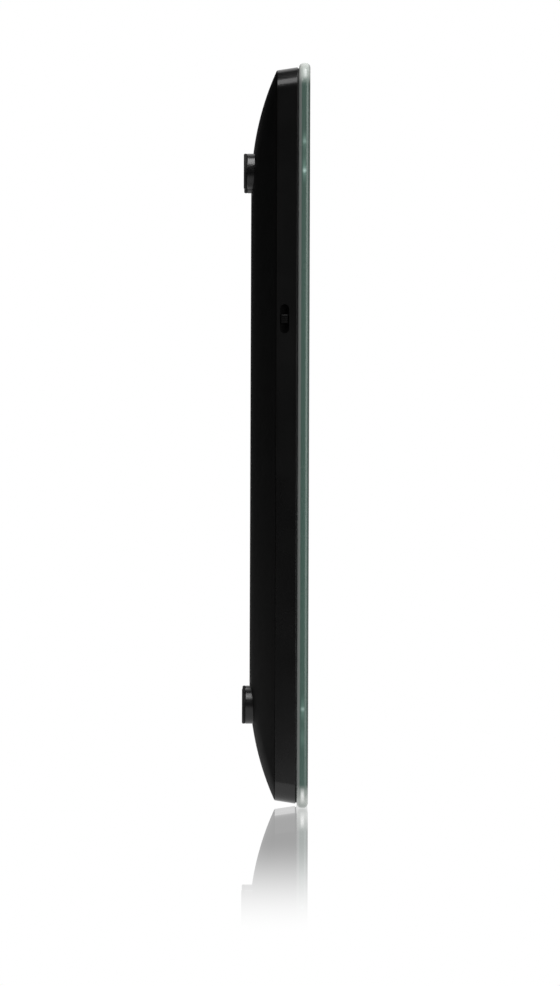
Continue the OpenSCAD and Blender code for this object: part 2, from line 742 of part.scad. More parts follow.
module sensor_bracket(p) {
    inwards = -sign(p[0]);
    middle = -sign(p[1]);
    color([0.85, 0.85, 0.82]) translate([p[0], p[1], 0]) difference() {
        union() {
            block(bracket_side, bracket_side, plate_z - cell_z - 0.2, 3, cell_z + 0.2);
            bracket_ear(middle);
        }
        block(bracket_opening, bracket_opening, plate_z, 2, cell_z - cut);
        block(cell_side + 2 * drop_in_gap, cell_side + 2 * drop_in_gap, cell_t - 0.2 + cut, 3,
            cell_z + 0.2 - cut);
        translate([0, middle * bracket_ear_offset, 0])
            post(small_screw_d + 0.4, bracket_ear_z - cut, plate_z);
        // Way out for the lead
        translate([inwards > 0 ? 0 : -bracket_side, -2, cell_z]) cube([bracket_side, 4, cell_t + 2.4]);
    }
}

// The ear that the bracket's screw passes through
module bracket_ear(middle) {
    reach = bracket_ear_offset;
    translate([0, middle * reach, 0]) post(bracket_ear_d, bracket_ear_z, bracket_ear_z + bracket_ear_t);
    translate([-bracket_ear_d / 2, middle > 0 ? bracket_side / 2 - 1 : -reach, bracket_ear_z])
        cube([bracket_ear_d, reach - bracket_side / 2 + 1, bracket_ear_t]);
}

module foot(p) {
    color([0.07, 0.07, 0.07]) translate([p[0], p[1], 0]) {
        post(foot_d, pad_t, foot_flange_z + 0.3);
        post(foot_flange_d, foot_flange_z, foot_flange_z + foot_flange_t);
        post(foot_stem_d, foot_flange_z, cell_z - touch_gap);
        post(foot_pin_d, foot_flange_z, cell_top + 0.6);
    }
}

module foot_pad(p) {
    steps = 6;
    color([0.12, 0.12, 0.12]) translate([p[0], p[1], 0]) rotate_extrude() polygon(concat(
        [[0, 0]],
        [for (k = [0:steps]) let (a = 90 * k / steps)
            [foot_d / 2 - pad_edge_r * (1 - sin(a)), pad_edge_r * (1 - cos(a))]],
        [[foot_d / 2, pad_t], [0, pad_t]]));
}

// ---------- leads ----------

// The gauge's inner face, where its lead starts
function lead_start(p) = [p[0] - sign(p[0]) * (gauge_offset + gauge_side / 2), p[1],
    cell_top + lead_r + 0.1];
function connector_mouth(k) = [k * connector_pitch, connector_y + connector_l, lead_z];

module sensor_lead_front(p, k) {
    s = sign(p[0]);
    side = s * (board_w / 2 + foot_x - bracket_side / 2) / 2;
    mouth = connector_mouth(k);
    color([0.7, 0.1, 0.1]) tube(lead_route(lead_start(p), [-s, 0, 0], [
        lead_start(p) - [s * 6, 0, 0],
        [side, p[1] + 3, lead_z],
        [side, p[1] + 10, lead_z],
        [side, mouth[1] - 2, lead_z],
        [side - s * 2, mouth[1] + 3.5, lead_z],
        [mouth[0] + s * 1.5, mouth[1] + 3.5, lead_z]],
        mouth, [0, 1, 0]), lead_r);
}

module sensor_lead_back(p, k) {
    s = sign(p[0]);
    mouth = connector_mouth(k);
    color([0.7, 0.1, 0.1]) tube(lead_route(lead_start(p), [-s, 0, 0], [
        lead_start(p) - [s * 8, 0, 0],
        [s * 29, p[1] - 8, lead_z],
        [s * 27, 30, lead_z],
        [s * 20, 0, lead_z],
        mouth + [s * 4, 14, 0],
        mouth + [0, 5, 0]],
        mouth, [0, 1, 0]), lead_r);
}

module unit_switch_lead() {
    start = [switch_board_x - switch_board_t - touch_gap, -slot_y, slot_z - 0.4];
    mouth = connector_mouth(2);
    color([0.15, 0.15, 0.6]) tube(lead_route(start, [-1, 0, 0], [
        start - [4, 0, 0.4],
        [60, -slot_y + 1, lead_z],
        [40, -slot_y + 2, lead_z],
        [22, -slot_y, lead_z]],
        mouth, [0, 1, 0]), lead_r);
}

// side is -1 for the positive core and 1 for the negative one
module battery_lead(tail_x, side) {
    start = [tail_x + contact_t / 2, -battery_y - contact_w / 2 - touch_gap, contact_tail - 0.6];
    mouth = connector_mouth(0) + [side * 1.2, 0, 0];
    color(side < 0 ? [0.7, 0.1, 0.1] : [0.05, 0.05, 0.05]) tube(lead_route(start, [0, -1, 0], [
        start - [side, 5, 0],
        mouth + [side, 5, 0]],
        mouth, [0, 1, 0]), lead_r * 0.8);
}
module battery_lead_positive() { battery_lead(tail_x_positive, -1); }
module battery_lead_negative() { battery_lead(tail_x_negative, 1); }

// ---------- fasteners ----------

module housing_screws() {
    color([0.75, 0.75, 0.77]) at_each(screw_places)
        screw(screw_d, screw_head_d, head_h, head_seat_z, screw_top_z);
}

module bracket_screws() {
    color([0.75, 0.75, 0.77]) for (p = foot_places)
        translate([p[0], p[1] - sign(p[1]) * bracket_ear_offset, 0])
            screw(small_screw_d, small_head_d, small_head_h, bracket_ear_z, plate_z + 0.1);
}

module board_screws() {
    color([0.75, 0.75, 0.77]) at_each(post_places)
        screw(small_screw_d, small_head_d, small_head_h, board_z, plate_z + 0.1);
}

glass_platform();
printed_layer();
adhesive_tape();
upper_housing();
lower_housing();
lcd_panel();
lcd_backlight();
lcd_holder();
zebra_strip();
main_board();
controller_chip();
board_components();
lead_connectors();
touch_spring_left();
touch_spring_right();
unit_switch_board();
unit_switch_body();
unit_switch_lever();
unit_slider();
unit_switch_lead();
battery_door();
coin_battery();
battery_contact_positive();
battery_contact_negative();
battery_lead_positive();
battery_lead_negative();
load_cell(foot_places[0]);  // load_cell_front_left
load_cell(foot_places[1]);  // load_cell_front_right
load_cell(foot_places[2]);  // load_cell_back_left
load_cell(foot_places[3]);  // load_cell_back_right
strain_gauge(foot_places[0]);  // strain_gauge_front_left
strain_gauge(foot_places[1]);  // strain_gauge_front_right
strain_gauge(foot_places[2]);  // strain_gauge_back_left
strain_gauge(foot_places[3]);  // strain_gauge_back_right
sensor_bracket(foot_places[0]);  // sensor_bracket_front_left
sensor_bracket(foot_places[1]);  // sensor_bracket_front_right
sensor_bracket(foot_places[2]);  // sensor_bracket_back_left
sensor_bracket(foot_places[3]);  // sensor_bracket_back_right
foot(foot_places[0]);  // foot_front_left
foot(foot_places[1]);  // foot_front_right
foot(foot_places[2]);  // foot_back_left
foot(foot_places[3]);  // foot_back_right
foot_pad(foot_places[0]);  // foot_pad_front_left
foot_pad(foot_places[1]);  // foot_pad_front_right
foot_pad(foot_places[2]);  // foot_pad_back_left
foot_pad(foot_places[3]);  // foot_pad_back_right
sensor_lead_front(foot_places[0], -3);  // sensor_lead_front_left
sensor_lead_front(foot_places[1], 3);  // sensor_lead_front_right
sensor_lead_back(foot_places[2], -1);  // sensor_lead_back_left
sensor_lead_back(foot_places[3], 1);  // sensor_lead_back_right
housing_screws();
bracket_screws();
board_screws();
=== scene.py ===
# %% [markdown]
# # A slim glass kitchen scale
# The scale is a sheet of toughened glass on a thin black housing, with four small feet that each
# press on a load cell. The measured model comes in first as a fixed frame. Blender then gives
# every visible piece its finished shape and every piece its finish. Lengths in this file are
# metres, and the name `mm` turns millimetres into them.

import json
import math

import bmesh
import bpy
from mathutils import Matrix, Vector


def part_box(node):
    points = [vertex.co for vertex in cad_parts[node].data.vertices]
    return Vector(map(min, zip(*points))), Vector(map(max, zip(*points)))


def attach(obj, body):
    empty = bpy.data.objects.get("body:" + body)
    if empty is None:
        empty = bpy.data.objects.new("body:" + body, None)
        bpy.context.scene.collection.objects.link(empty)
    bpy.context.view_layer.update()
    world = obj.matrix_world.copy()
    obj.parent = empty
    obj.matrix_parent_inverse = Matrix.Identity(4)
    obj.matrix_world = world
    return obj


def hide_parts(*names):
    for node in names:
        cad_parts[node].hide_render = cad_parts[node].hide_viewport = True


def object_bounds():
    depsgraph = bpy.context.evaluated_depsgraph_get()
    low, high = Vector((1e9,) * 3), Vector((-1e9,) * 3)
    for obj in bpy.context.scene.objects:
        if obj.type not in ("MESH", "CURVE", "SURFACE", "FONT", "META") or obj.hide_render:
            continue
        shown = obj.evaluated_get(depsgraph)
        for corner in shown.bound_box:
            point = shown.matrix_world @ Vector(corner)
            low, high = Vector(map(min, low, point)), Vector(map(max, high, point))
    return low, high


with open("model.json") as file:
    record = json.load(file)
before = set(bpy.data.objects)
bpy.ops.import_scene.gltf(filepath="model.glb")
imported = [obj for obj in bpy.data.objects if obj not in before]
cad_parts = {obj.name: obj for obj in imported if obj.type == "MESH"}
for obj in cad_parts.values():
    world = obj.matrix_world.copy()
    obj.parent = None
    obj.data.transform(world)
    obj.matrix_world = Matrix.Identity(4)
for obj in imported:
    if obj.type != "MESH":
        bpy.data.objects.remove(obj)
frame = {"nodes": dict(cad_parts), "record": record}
cad_low, cad_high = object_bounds()
mm = 0.001
CORNERS = ("front_left", "front_right", "back_left", "back_right")

# %% [markdown]
# ## The camera
# The scale stands on its back end and is seen exactly from its right side, so the camera looks
# along -X with the front of the scale upwards. A very long lens stands far off, because the far
# pair of feet hides almost exactly behind the near pair. The camera leans by a fraction of a
# degree.

# %% Camera
VIEW_HEIGHT = 0.3042                 # what the view covers, top to bottom, at the near edge
LENS_MM = 900
SENSOR_MM = 36
LEAN = math.radians(0.2)
near_edge_x = cad_high.x
camera_gap = VIEW_HEIGHT * LENS_MM / SENSOR_MM

camera_data = bpy.data.cameras.new("side_camera")
camera_data.lens = LENS_MM
camera_data.sensor_width = SENSOR_MM
camera_data.clip_end = 2 * camera_gap
camera = bpy.data.objects.new("side_camera", camera_data)
bpy.context.scene.collection.objects.link(camera)
bpy.context.scene.camera = camera
image_right, image_up = Vector((0, 0, 1)), Vector((0, -1, 0))
aim = Vector((near_edge_x, 0.01790, 0.01157))
turn = Matrix((image_right, image_up, image_right.cross(image_up))).transposed().to_4x4()
camera.matrix_world = (Matrix.Translation(aim + Vector((camera_gap, 0, 0))) @ turn
                       @ Matrix.Rotation(LEAN, 4, "Z"))
print("camera stands", round(camera_gap, 2), "m off")

# %% [markdown]
# ## Mesh helpers
# Almost every outside piece of the scale is a rounded rectangle that changes size with height:
# the glass, the skirt and the belly. One helper draws such a ring of points, and another joins a
# stack of rings into a closed solid. Holes are then cut with exact booleans, as a mould's core
# pins leave them.

# %% Rings, lofts and booleans
def ring(half_x, half_y, corner, height, corner_steps=12, edge_steps=10):
    """Points of a rounded rectangle, anticlockwise seen from above."""
    points = []
    quarters = ((1, 1), (-1, 1), (-1, -1), (1, -1))
    for quarter, (side_x, side_y) in enumerate(quarters):
        centre = Vector((side_x * (half_x - corner), side_y * (half_y - corner), height))
        for step in range(corner_steps + 1):
            a = math.pi / 2 * (quarter + step / corner_steps)
            points.append(centre + corner * Vector((math.cos(a), math.sin(a), 0)))
        next_x, next_y = quarters[(quarter + 1) % 4]
        a = math.pi / 2 * (quarter + 1)
        far = Vector((next_x * (half_x - corner), next_y * (half_y - corner), height))
        far += corner * Vector((math.cos(a), math.sin(a), 0))
        near = points[-1].copy()
        points += [near.lerp(far, step / edge_steps) for step in range(1, edge_steps)]
    return points


def disc_ring(radius, height, steps=48, centre=(0, 0)):
    """Points of a circle."""
    return [Vector((centre[0] + radius * math.cos(2 * math.pi * k / steps),
                    centre[1] + radius * math.sin(2 * math.pi * k / steps), height))
            for k in range(steps)]


def new_piece(name, points, faces, solid=True):
    """A mesh object from points and faces. A solid's faces are turned outwards."""
    mesh = bpy.data.meshes.new(name)
    mesh.from_pydata(points, [], faces)
    if solid:
        outward(mesh)
    piece = bpy.data.objects.new(name, mesh)
    bpy.context.scene.collection.objects.link(piece)
    return piece


def loft(name, rings):
    """A closed solid through rings that have the same number of points."""
    count = len(rings[0])
    points = [p for each in rings for p in each]
    faces = [[level * count + k, level * count + (k + 1) % count,
              (level + 1) * count + (k + 1) % count, (level + 1) * count + k]
             for level in range(len(rings) - 1) for k in range(count)]
    faces.append(list(range(count))[::-1])
    faces.append([(len(rings) - 1) * count + k for k in range(count)])
    return new_piece(name, points, faces)


def outward(mesh):
    """Joins points that coincide and turns the faces outwards."""
    work = bmesh.new()
    work.from_mesh(mesh)
    bmesh.ops.remove_doubles(work, verts=work.verts, dist=1e-7)
    bmesh.ops.recalc_face_normals(work, faces=work.faces)
    work.to_mesh(mesh)
    work.free()


def bar(name, low, high):
    """A plain block between two corners, used as a cutter or before bevelling."""
    rings = [[Vector((x, y, z)) for x, y in ((low[0], low[1]), (high[0], low[1]),
                                             (high[0], high[1]), (low[0], high[1]))]
             for z in (low[2], high[2])]
    return loft(name, rings)


def settle(piece):
    """Applies the piece's modifiers, which leaves a plain mesh."""
    view = bpy.context.evaluated_depsgraph_get()
    made = bpy.data.meshes.new_from_object(piece.evaluated_get(view))
    made.name = piece.name
    old = piece.data
    piece.modifiers.clear()
    piece.data = made
    bpy.data.meshes.remove(old)
    return piece


def combine(piece, other, operation):
    """Cuts the other solid from the piece, or adds it, and removes the other solid."""
    step = piece.modifiers.new("solid", "BOOLEAN")
    step.operation = operation
    step.solver = "EXACT"
    step.object = other
    bpy.context.view_layer.update()
    settle(piece)
    bpy.data.objects.remove(other)
    return piece


def cut(piece, other):
    combine(piece, other, "DIFFERENCE")


def fuse(piece, other):
    combine(piece, other, "UNION")


def soften(piece, width, angle=35, segments=2):
    """Rounds the piece's edges slightly and shades it as one moulding."""
    piece.data.polygons.foreach_set("use_smooth", [True] * len(piece.data.polygons))
    if width:
        edge = piece.modifiers.new("edge", "BEVEL")
        edge.width = width
        edge.segments = segments
        edge.limit_method = "ANGLE"
        edge.angle_limit = math.radians(angle)
        settle(piece)
        piece.data.polygons.foreach_set("use_smooth", [True] * len(piece.data.polygons))
    piece.data.set_sharp_from_angle(angle=math.radians(angle))
    normals = piece.modifiers.new("normals", "WEIGHTED_NORMAL")
    normals.keep_sharp = True
    normals.weight = 80
    return settle(piece)


def place(piece, body, material, slot_name, *nodes):
    """Gives a finished piece its material, its body and the frame nodes that it stands for."""
    if material:
        piece.data.materials.clear()
        piece.data.materials.append(material)
    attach(piece, body)
    if nodes:
        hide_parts(*nodes)
    print(piece.name, "has", len(piece.data.polygons), "faces and rides on", body)
    return piece


# %% [markdown]
# ## Shader helpers
# The finishes share three effects, so each is a node group that is built once: the fine grain of
# a moulded or ground surface, the drawn lines of brushed metal, and a little settled dust. A
# group only gives out values, and every material keeps its own shader.

# %% Shader groups
def fill(tree, node, inputs):
    """Gives each input a value, or a link from another node's output."""
    for key, value in inputs.items():
        if isinstance(value, bpy.types.NodeSocket):
            tree.links.new(value, node.inputs[key])
        else:
            node.inputs[key].default_value = value
    return node


def add(tree, kind, inputs=None, **choices):
    """Adds a node, with its own choices and then its inputs."""
    node = tree.nodes.new(kind)
    for name, value in choices.items():
        setattr(node, name, value)
    return fill(tree, node, inputs or {})


def own_place(tree):
    """Where a point is on the object, in metres."""
    return add(tree, "ShaderNodeTexCoord").outputs["Object"]


def shader_group(name, inputs, *outputs):
    group = bpy.data.node_groups.new(name, "ShaderNodeTree")
    for label, value in inputs.items():
        socket = group.interface.new_socket(label, in_out="INPUT", socket_type="NodeSocketFloat")
        socket.default_value = value
    for label in outputs:
        group.interface.new_socket(label, in_out="OUTPUT", socket_type="NodeSocketFloat")
    return group, add(group, "NodeGroupInput").outputs, add(group, "NodeGroupOutput")


def build_grain_group():
    """Fine grain: Height for a bump, Blotch for slow changes of tone."""
    group, given, out = shader_group("fine_grain", {"Scale": 2500, "Blotch Scale": 40},
                                     "Height", "Blotch")
    place_in = own_place(group)
    for scale_name, detail, target in (("Scale", 3, "Height"), ("Blotch Scale", 4, "Blotch")):
        noise = add(group, "ShaderNodeTexNoise",
                    {"Detail": detail, "Vector": place_in, "Scale": given[scale_name]})
        fill(group, out, {target: noise.outputs["Fac"]})
    return group


def build_brushed_group():
    """Brushed metal: fine lines drawn along X."""
    group, given, out = shader_group("brushed_lines", {"Scale": 900, "Stretch": 0.04}, "Height")
    squeeze = add(group, "ShaderNodeCombineXYZ", {"X": given["Stretch"], "Y": 1, "Z": 1})
    scaled = add(group, "ShaderNodeVectorMath", {0: own_place(group), 1: squeeze.outputs["Vector"]},
                 operation="MULTIPLY")
    noise = add(group, "ShaderNodeTexNoise",
                {"Detail": 2, "Vector": scaled.outputs["Vector"], "Scale": given["Scale"]})
    fill(group, out, {"Height": noise.outputs["Fac"]})
    return group


def build_dust_group():
    """Settled dust: a Mask of sparse small specks."""
    group, given, out = shader_group("settled_dust", {"Scale": 700, "Amount": 0.1}, "Mask")
    cells = add(group, "ShaderNodeTexVoronoi",
                {"Vector": own_place(group), "Scale": given["Scale"]})
    edge = add(group, "ShaderNodeMapRange", {"Value": cells.outputs["Distance"],
                                             "From Max": given["Amount"], "To Min": 1, "To Max": 0})
    fill(group, out, {"Mask": edge.outputs["Result"]})
    return group


GRAIN = build_grain_group()
BRUSHED = build_brushed_group()
DUST = build_dust_group()
print("shader groups:", GRAIN.name, BRUSHED.name, DUST.name)

# %% A finish from its numbers
DUST_COLOUR = (0.35, 0.34, 0.32)


def blank_material(name, keep_shader=True):
    """A new material, its node tree and its own shader."""
    material = bpy.data.materials.new(name)
    material.use_nodes = True
    tree = material.node_tree
    if keep_shader:
        return material, tree, tree.nodes["Principled BSDF"]
    tree.nodes.remove(tree.nodes["Principled BSDF"])
    return material, tree


def use_group(tree, group, **values):
    inputs = {label.replace("_", " "): value for label, value in values.items()}
    return add(tree, "ShaderNodeGroup", inputs, node_tree=group).outputs


def spread(tree, source, low, high):
    """Maps the middle of a noise's range to another range."""
    return add(tree, "ShaderNodeMapRange", {"Value": source, "From Min": 0.3, "From Max": 0.7,
                                            "To Min": low, "To Max": high}).outputs["Result"]


def smooth(tree, value, start, end, low, high):
    """Goes smoothly from one level to another while a value goes from start to end."""
    return add(tree, "ShaderNodeMapRange", {"Value": value, "From Min": start, "From Max": end,
                                            "To Min": low, "To Max": high},
               interpolation_type="SMOOTHSTEP").outputs["Result"]


def calculate(tree, operation, first, second=0.0):
    return add(tree, "ShaderNodeMath", {0: first, 1: second}, operation=operation).outputs["Value"]


def tone(value):
    """A full colour from a colour or a grey level. Another node's output stays as it is."""
    if isinstance(value, bpy.types.NodeSocket):
        return value
    return (*value, 1) if isinstance(value, tuple) else (value, value, value, 1)


def blend(tree, factor, first, second):
    """Mixes two tones by a factor."""
    return add(tree, "ShaderNodeMix", {"Factor": factor, "A": tone(first), "B": tone(second)},
               data_type="RGBA").outputs["Result"]


def bump(tree, height, depth, shader):
    node = add(tree, "ShaderNodeBump", {"Strength": 1, "Distance": depth, "Height": height})
    fill(tree, shader, {"Normal": node.outputs["Normal"]})


def finish(name, dark, light, rough, grain, blotch, depth, metallic=0.0, specular=0.5, coat=0.0,
           coat_roughness=0.1, brushed=False, dust=0.0):
    """A surface whose tone runs from dark to light, with grain, and optional brushing and dust."""
    material, tree, shader = blank_material(name)
    fine = use_group(tree, GRAIN, Scale=grain, Blotch_Scale=blotch)
    colour = blend(tree, spread(tree, fine["Blotch"], 0, 1), dark, light)
    if dust:
        colour = blend(tree, use_group(tree, DUST, Amount=dust)["Mask"], colour, DUST_COLOUR)
    fill(tree, shader, {"Base Color": colour, "Roughness": spread(tree, fine["Blotch"], *rough),
                        "Metallic": metallic, "Specular IOR Level": specular,
                        "Coat Weight": coat, "Coat Roughness": coat_roughness})
    bump(tree, use_group(tree, BRUSHED)["Height"] if brushed else fine["Height"], depth, shader)
    return material


# %% [markdown]
# ## The finishes
# The upper housing is moulded in black ABS from a polished mould. The lower one, and its door,
# have a deeper spark-eroded grain, which hides scratches and looks matte; their black is also set
# a little darker, as painted shade for the underside. The feet are a dark grey plastic on soft
# black rubber pads. The parts inside get the finish of what they are: tinned metal, zinc plate,
# circuit board, foam and insulated wire.

# %% Plain finishes by material slot
# each: name, dark and light tones, roughness range, grain and blotch scales, grain depth
slots = {
    "foam_tape": finish("closed_cell_foam", 0.010, 0.030, (0.85, 0.95), 1800, 90, 0.08 * mm,
        specular=0.2),
    "housing_plastic": finish("black_moulded_abs", 0.0012, 0.0022, (0.24, 0.32), 3200, 30,
        0.004 * mm, specular=0.45, coat=0.35, coat_roughness=0.14),
    # Painted shade: the knob's black is set darker than the housing's, for the shade deep in its
    # slot.
    "knob_plastic": finish("selector_plastic", 0.0010, 0.0018, (0.42, 0.52), 3000, 60, 0.006 * mm,
        specular=0.15),
    "foot_plastic": finish("dark_grey_plastic", 0.008, 0.013, (0.26, 0.36), 2600, 80, 0.006 * mm,
        specular=0.5),
    "pad_rubber": finish("soft_black_rubber", 0.006, 0.012, (0.62, 0.8), 2200, 120, 0.02 * mm,
        specular=0.3, dust=0.06),
    "light_guide": finish("milky_light_guide", (0.72, 0.76, 0.78), (0.86, 0.88, 0.88),
        (0.2, 0.35), 1200, 60, 0.02 * mm),
    "white_plastic": finish("white_moulding", 0.62, 0.74, (0.35, 0.5), 2400, 50, 0.01 * mm),
    "contact_rubber": finish("contact_rubber", 0.30, 0.42, (0.6, 0.8), 2600, 300, 0.02 * mm),
    "epoxy": finish("black_epoxy_drop", 0.004, 0.012, (0.16, 0.3), 700, 200, 0.03 * mm),
    "component_metal": finish("tinned_metal", 0.45, 0.62, (0.25, 0.4), 2000, 300, 0.01 * mm,
        metallic=1),
    "spring_wire": finish("spring_wire", 0.50, 0.66, (0.18, 0.3), 3000, 200, 0.01 * mm, metallic=1),
    "contact_metal": finish("nickel_strip", (0.60, 0.58, 0.54), (0.72, 0.70, 0.66), (0.16, 0.3),
        2000, 150, 0.01 * mm, metallic=1, brushed=True),
    "battery_steel": finish("brushed_cell_steel", 0.50, 0.62, (0.2, 0.34), 2000, 80, 0.01 * mm,
        metallic=1, brushed=True),
    "cell_steel": finish("load_cell_steel", (0.42, 0.42, 0.41), (0.58, 0.57, 0.55), (0.28, 0.45),
        1500, 70, 0.02 * mm, metallic=1, brushed=True),
    "potting": finish("white_silicone", (0.72, 0.70, 0.66), (0.82, 0.80, 0.76), (0.4, 0.6), 900,
        200, 0.08 * mm),
    "screw_steel": finish("zinc_plated_steel", (0.50, 0.51, 0.54), (0.68, 0.68, 0.70),
        (0.22, 0.38), 2400, 260, 0.01 * mm, metallic=1),
    "lead_red": finish("red_insulation", (0.42, 0.012, 0.010), (0.56, 0.022, 0.016), (0.35, 0.5),
        2000, 150, 0.01 * mm),
    "lead_black": finish("black_insulation", 0.008, 0.016, (0.35, 0.5), 2000, 150, 0.01 * mm),
}
print(len(slots), "plain finishes")


# %% Circuit board, display and back print
def board_finish():
    """Green solder mask over copper tracks: the tracks show as slightly lighter, raised lines."""
    material, tree, shader = blank_material("green_circuit_board")
    tracks = add(tree, "ShaderNodeTexVoronoi",
                 {"Scale": 420, "Randomness": 0.55, "Vector": own_place(tree)},
                 distance="CHEBYCHEV", feature="F2")
    line = calculate(tree, "PINGPONG", tracks.outputs["Distance"], 0.12)
    sharp = add(tree, "ShaderNodeMapRange",
                {"Value": line, "From Min": 0.05, "From Max": 0.07}).outputs["Result"]
    colour = blend(tree, sharp, (0.010, 0.085, 0.030), (0.022, 0.155, 0.055))
    fill(tree, shader, {"Base Color": colour, "Roughness": 0.3, "Coat Weight": 0.4})
    bump(tree, sharp, 0.03 * mm, shader)
    return material


def display_finish():
    """The display's grey polariser, slightly darker where the cells of its layers show."""
    material, tree, shader = blank_material("display_polariser")
    cells = add(tree, "ShaderNodeTexBrick",
                {"Scale": 500, "Mortar Size": 0.02, "Brick Width": 0.5, "Row Height": 0.5,
                 "Color1": (0.23, 0.27, 0.235, 1), "Color2": (0.235, 0.275, 0.24, 1),
                 "Mortar": (0.20, 0.235, 0.205, 1), "Vector": own_place(tree)}, offset=0)
    fine = use_group(tree, GRAIN, Scale=1500)
    fill(tree, shader, {"Base Color": cells.outputs["Color"],
                        "Roughness": spread(tree, fine["Blotch"], 0.14, 0.22)})
    return material


slots["circuit_board"] = board_finish()
slots["display_glass"] = display_finish()
slots["back_print"] = finish("black_ceramic_print", 0.0022, 0.0034, (0.30, 0.36), 1500, 90,
                             0.0004 * mm, specular=0.4)
# Painted shade: this black is set darker than the upper housing's for the shaded underside; the
# deeper grain and low shine are real.
underside_abs_painted_shade = finish("black_grained_abs", 0.0009, 0.0016, (0.54, 0.60), 2600, 160, 0.012 * mm,
                     specular=0.05)
white_print = finish("white_ceramic_print", 0.60, 0.66, (0.35, 0.45), 5000, 200, 0.002 * mm)
digit_ink = finish("display_segments", (0.028, 0.032, 0.030), (0.036, 0.040, 0.038), (0.25, 0.32),
                   3000, 100, 0.002 * mm)
print(len(slots), "finishes by slot, and three more")

# %% Give every frame node its finish
for entry in frame["record"]["subparts"]:
    if entry["material_slot"] in slots:
        for material_slot in frame["nodes"][entry["node"]].material_slots:
            material_slot.material = slots[entry["material_slot"]]

# %% [markdown]
# ## The glass platform
# The platform is toughened soda-lime glass. Its edge is ground to a soft curve and polished
# before tempering, because a sharp edge would chip and can't be tempered. A stack of rounded
# rectangles makes the curve above and below. The faces stay clear, so the black print behind them
# shows. The edge is a closed finish, because light leaves thick glass there green and soft: the
# middle of the edge is teal, and painted highlights lie on it: grey bands on the two curves, the
# lower one lighter, lighter ends, and painted spots, halos and a white glint where light gathers.

# %% Glass finishes
GLASS_IOR = 1.52


def mix_shaders(tree, factor, first, second):
    """Mixes two shaders, each given as its node."""
    return add(tree, "ShaderNodeMixShader",
               {"Fac": factor, 1: first.outputs[0], 2: second.outputs[0]})


def to_surface(tree, shader):
    fill(tree, tree.nodes["Material Output"], {"Surface": shader.outputs[0]})


def back_side(tree):
    return add(tree, "ShaderNodeNewGeometry").outputs["Backfacing"]


def clear_glass():
    """A clear face that mirrors on its outer side only, so nothing is mirrored inside the sheet."""
    material, tree = blank_material("clear_toughened_glass", keep_shader=False)
    through = add(tree, "ShaderNodeBsdfTransparent", {"Color": (0.93, 0.97, 0.95, 1)})
    fine = use_group(tree, GRAIN, Scale=900, Blotch_Scale=25)
    shine = add(tree, "ShaderNodeBsdfGlossy",
                {"Roughness": spread(tree, fine["Blotch"], 0.015, 0.04)})
    edge = add(tree, "ShaderNodeFresnel", {"IOR": GLASS_IOR})
    outer = add(tree, "ShaderNodeMath", {0: edge.outputs["Fac"], 1: back_side(tree)},
                operation="SUBTRACT", use_clamp=True)
    to_surface(tree, mix_shaders(tree, outer.outputs["Value"], through, shine))
    return material


def ramp(tree, source, stops, mode="EASE"):
    """A colour ramp through stops. Each is a place on the ramp and a colour or a grey level."""
    node = add(tree, "ShaderNodeValToRGB", {"Fac": source})
    node.color_ramp.interpolation = mode
    while len(node.color_ramp.elements) < len(stops):
        node.color_ramp.elements.new(0.5)
    for element, (place_on_ramp, colour) in zip(node.color_ramp.elements, stops):
        element.position = place_on_ramp
        element.color = tone(colour)
    return node.outputs["Color"]


def polished_edge_painted_light(low, high):
    """The polished teal edge, with painted highlights: bands on its curves, lit ends, spots and a
    glint.
    """
    material, tree, shader = blank_material("ground_glass_edge")
    split = add(tree, "ShaderNodeSeparateXYZ", {"Vector": own_place(tree)}).outputs
    across, along = (add(tree, "ShaderNodeMapRange", {"Value": split[axis], "From Min": start,
                                                      "From Max": end}).outputs["Result"]
                     for axis, start, end in (("Z", low.z, high.z), ("Y", low.y, high.y)))
    colour = blend(tree, along, (0.066, 0.108, 0.090), (0.060, 0.106, 0.088))
    # Painted highlights on the two curves of the edge: grey bands, lighter on the lower curve.
    arris_highlight = ramp(tree, across, ((0.0, 0.9), (0.20, 0.85), (0.30, 0), (0.88, 0), (0.94, 0.9),
                                (1.0, 1.0)), "LINEAR")
    arris_highlight_tone = ramp(tree, across, ((0.0, (0.240, 0.252, 0.246)), (1.0, (0.092, 0.102, 0.096))),
                      "LINEAR")
    colour = blend(tree, arris_highlight, colour, arris_highlight_tone)
    middle = ramp(tree, across, ((0.28, 0), (0.46, 1), (0.56, 1), (0.74, 0)))
    # Painted light along the edge: halos and spots where light gathers, lighter ends, and a white
    # glint.
    halos = ((0.088, 0), (0.104, 0.22), (0.120, 0.05), (0.144, 0.30), (0.165, 0), (0.845, 0),
             (0.867, 0.20), (0.889, 0.02), (0.907, 0.14), (0.925, 0))
    ends = ((0.0, 0.9), (0.014, 0.6), (0.030, 0), (0.968, 0), (0.980, 0.5), (0.990, 0.9),
            (1.0, 0.5))
    spots = ((0.1000, 0), (0.1043, 0.28), (0.1085, 0), (0.1395, 0), (0.1441, 0.62), (0.1490, 0),
             (0.8630, 0), (0.8674, 0.38), (0.8715, 0))
    glint = ((0.972, 0), (0.984, 0.9), (0.997, 0))
    for stops, light, whole_edge in ((halos, (0.30, 0.50, 0.42), False),
                                     (ends, (0.55, 0.58, 0.55), True),
                                     (spots, (0.62, 0.82, 0.76), False),
                                     (glint, (0.96, 0.98, 0.96), False)):
        amount = ramp(tree, along, stops)
        if not whole_edge:
            amount = calculate(tree, "MULTIPLY", amount, middle)
        colour = blend(tree, amount, colour, light)
    fine = use_group(tree, GRAIN, Scale=2600, Blotch_Scale=120)
    fill(tree, shader, {"Base Color": colour,
                        "Roughness": spread(tree, fine["Blotch"], 0.16, 0.30)})
    bump(tree, fine["Height"], 0.004 * mm, shader)
    inside = add(tree, "ShaderNodeBsdfTransparent", {"Color": (0.50, 0.72, 0.64, 1)})
    to_surface(tree, mix_shaders(tree, back_side(tree), shader, inside))
    return material


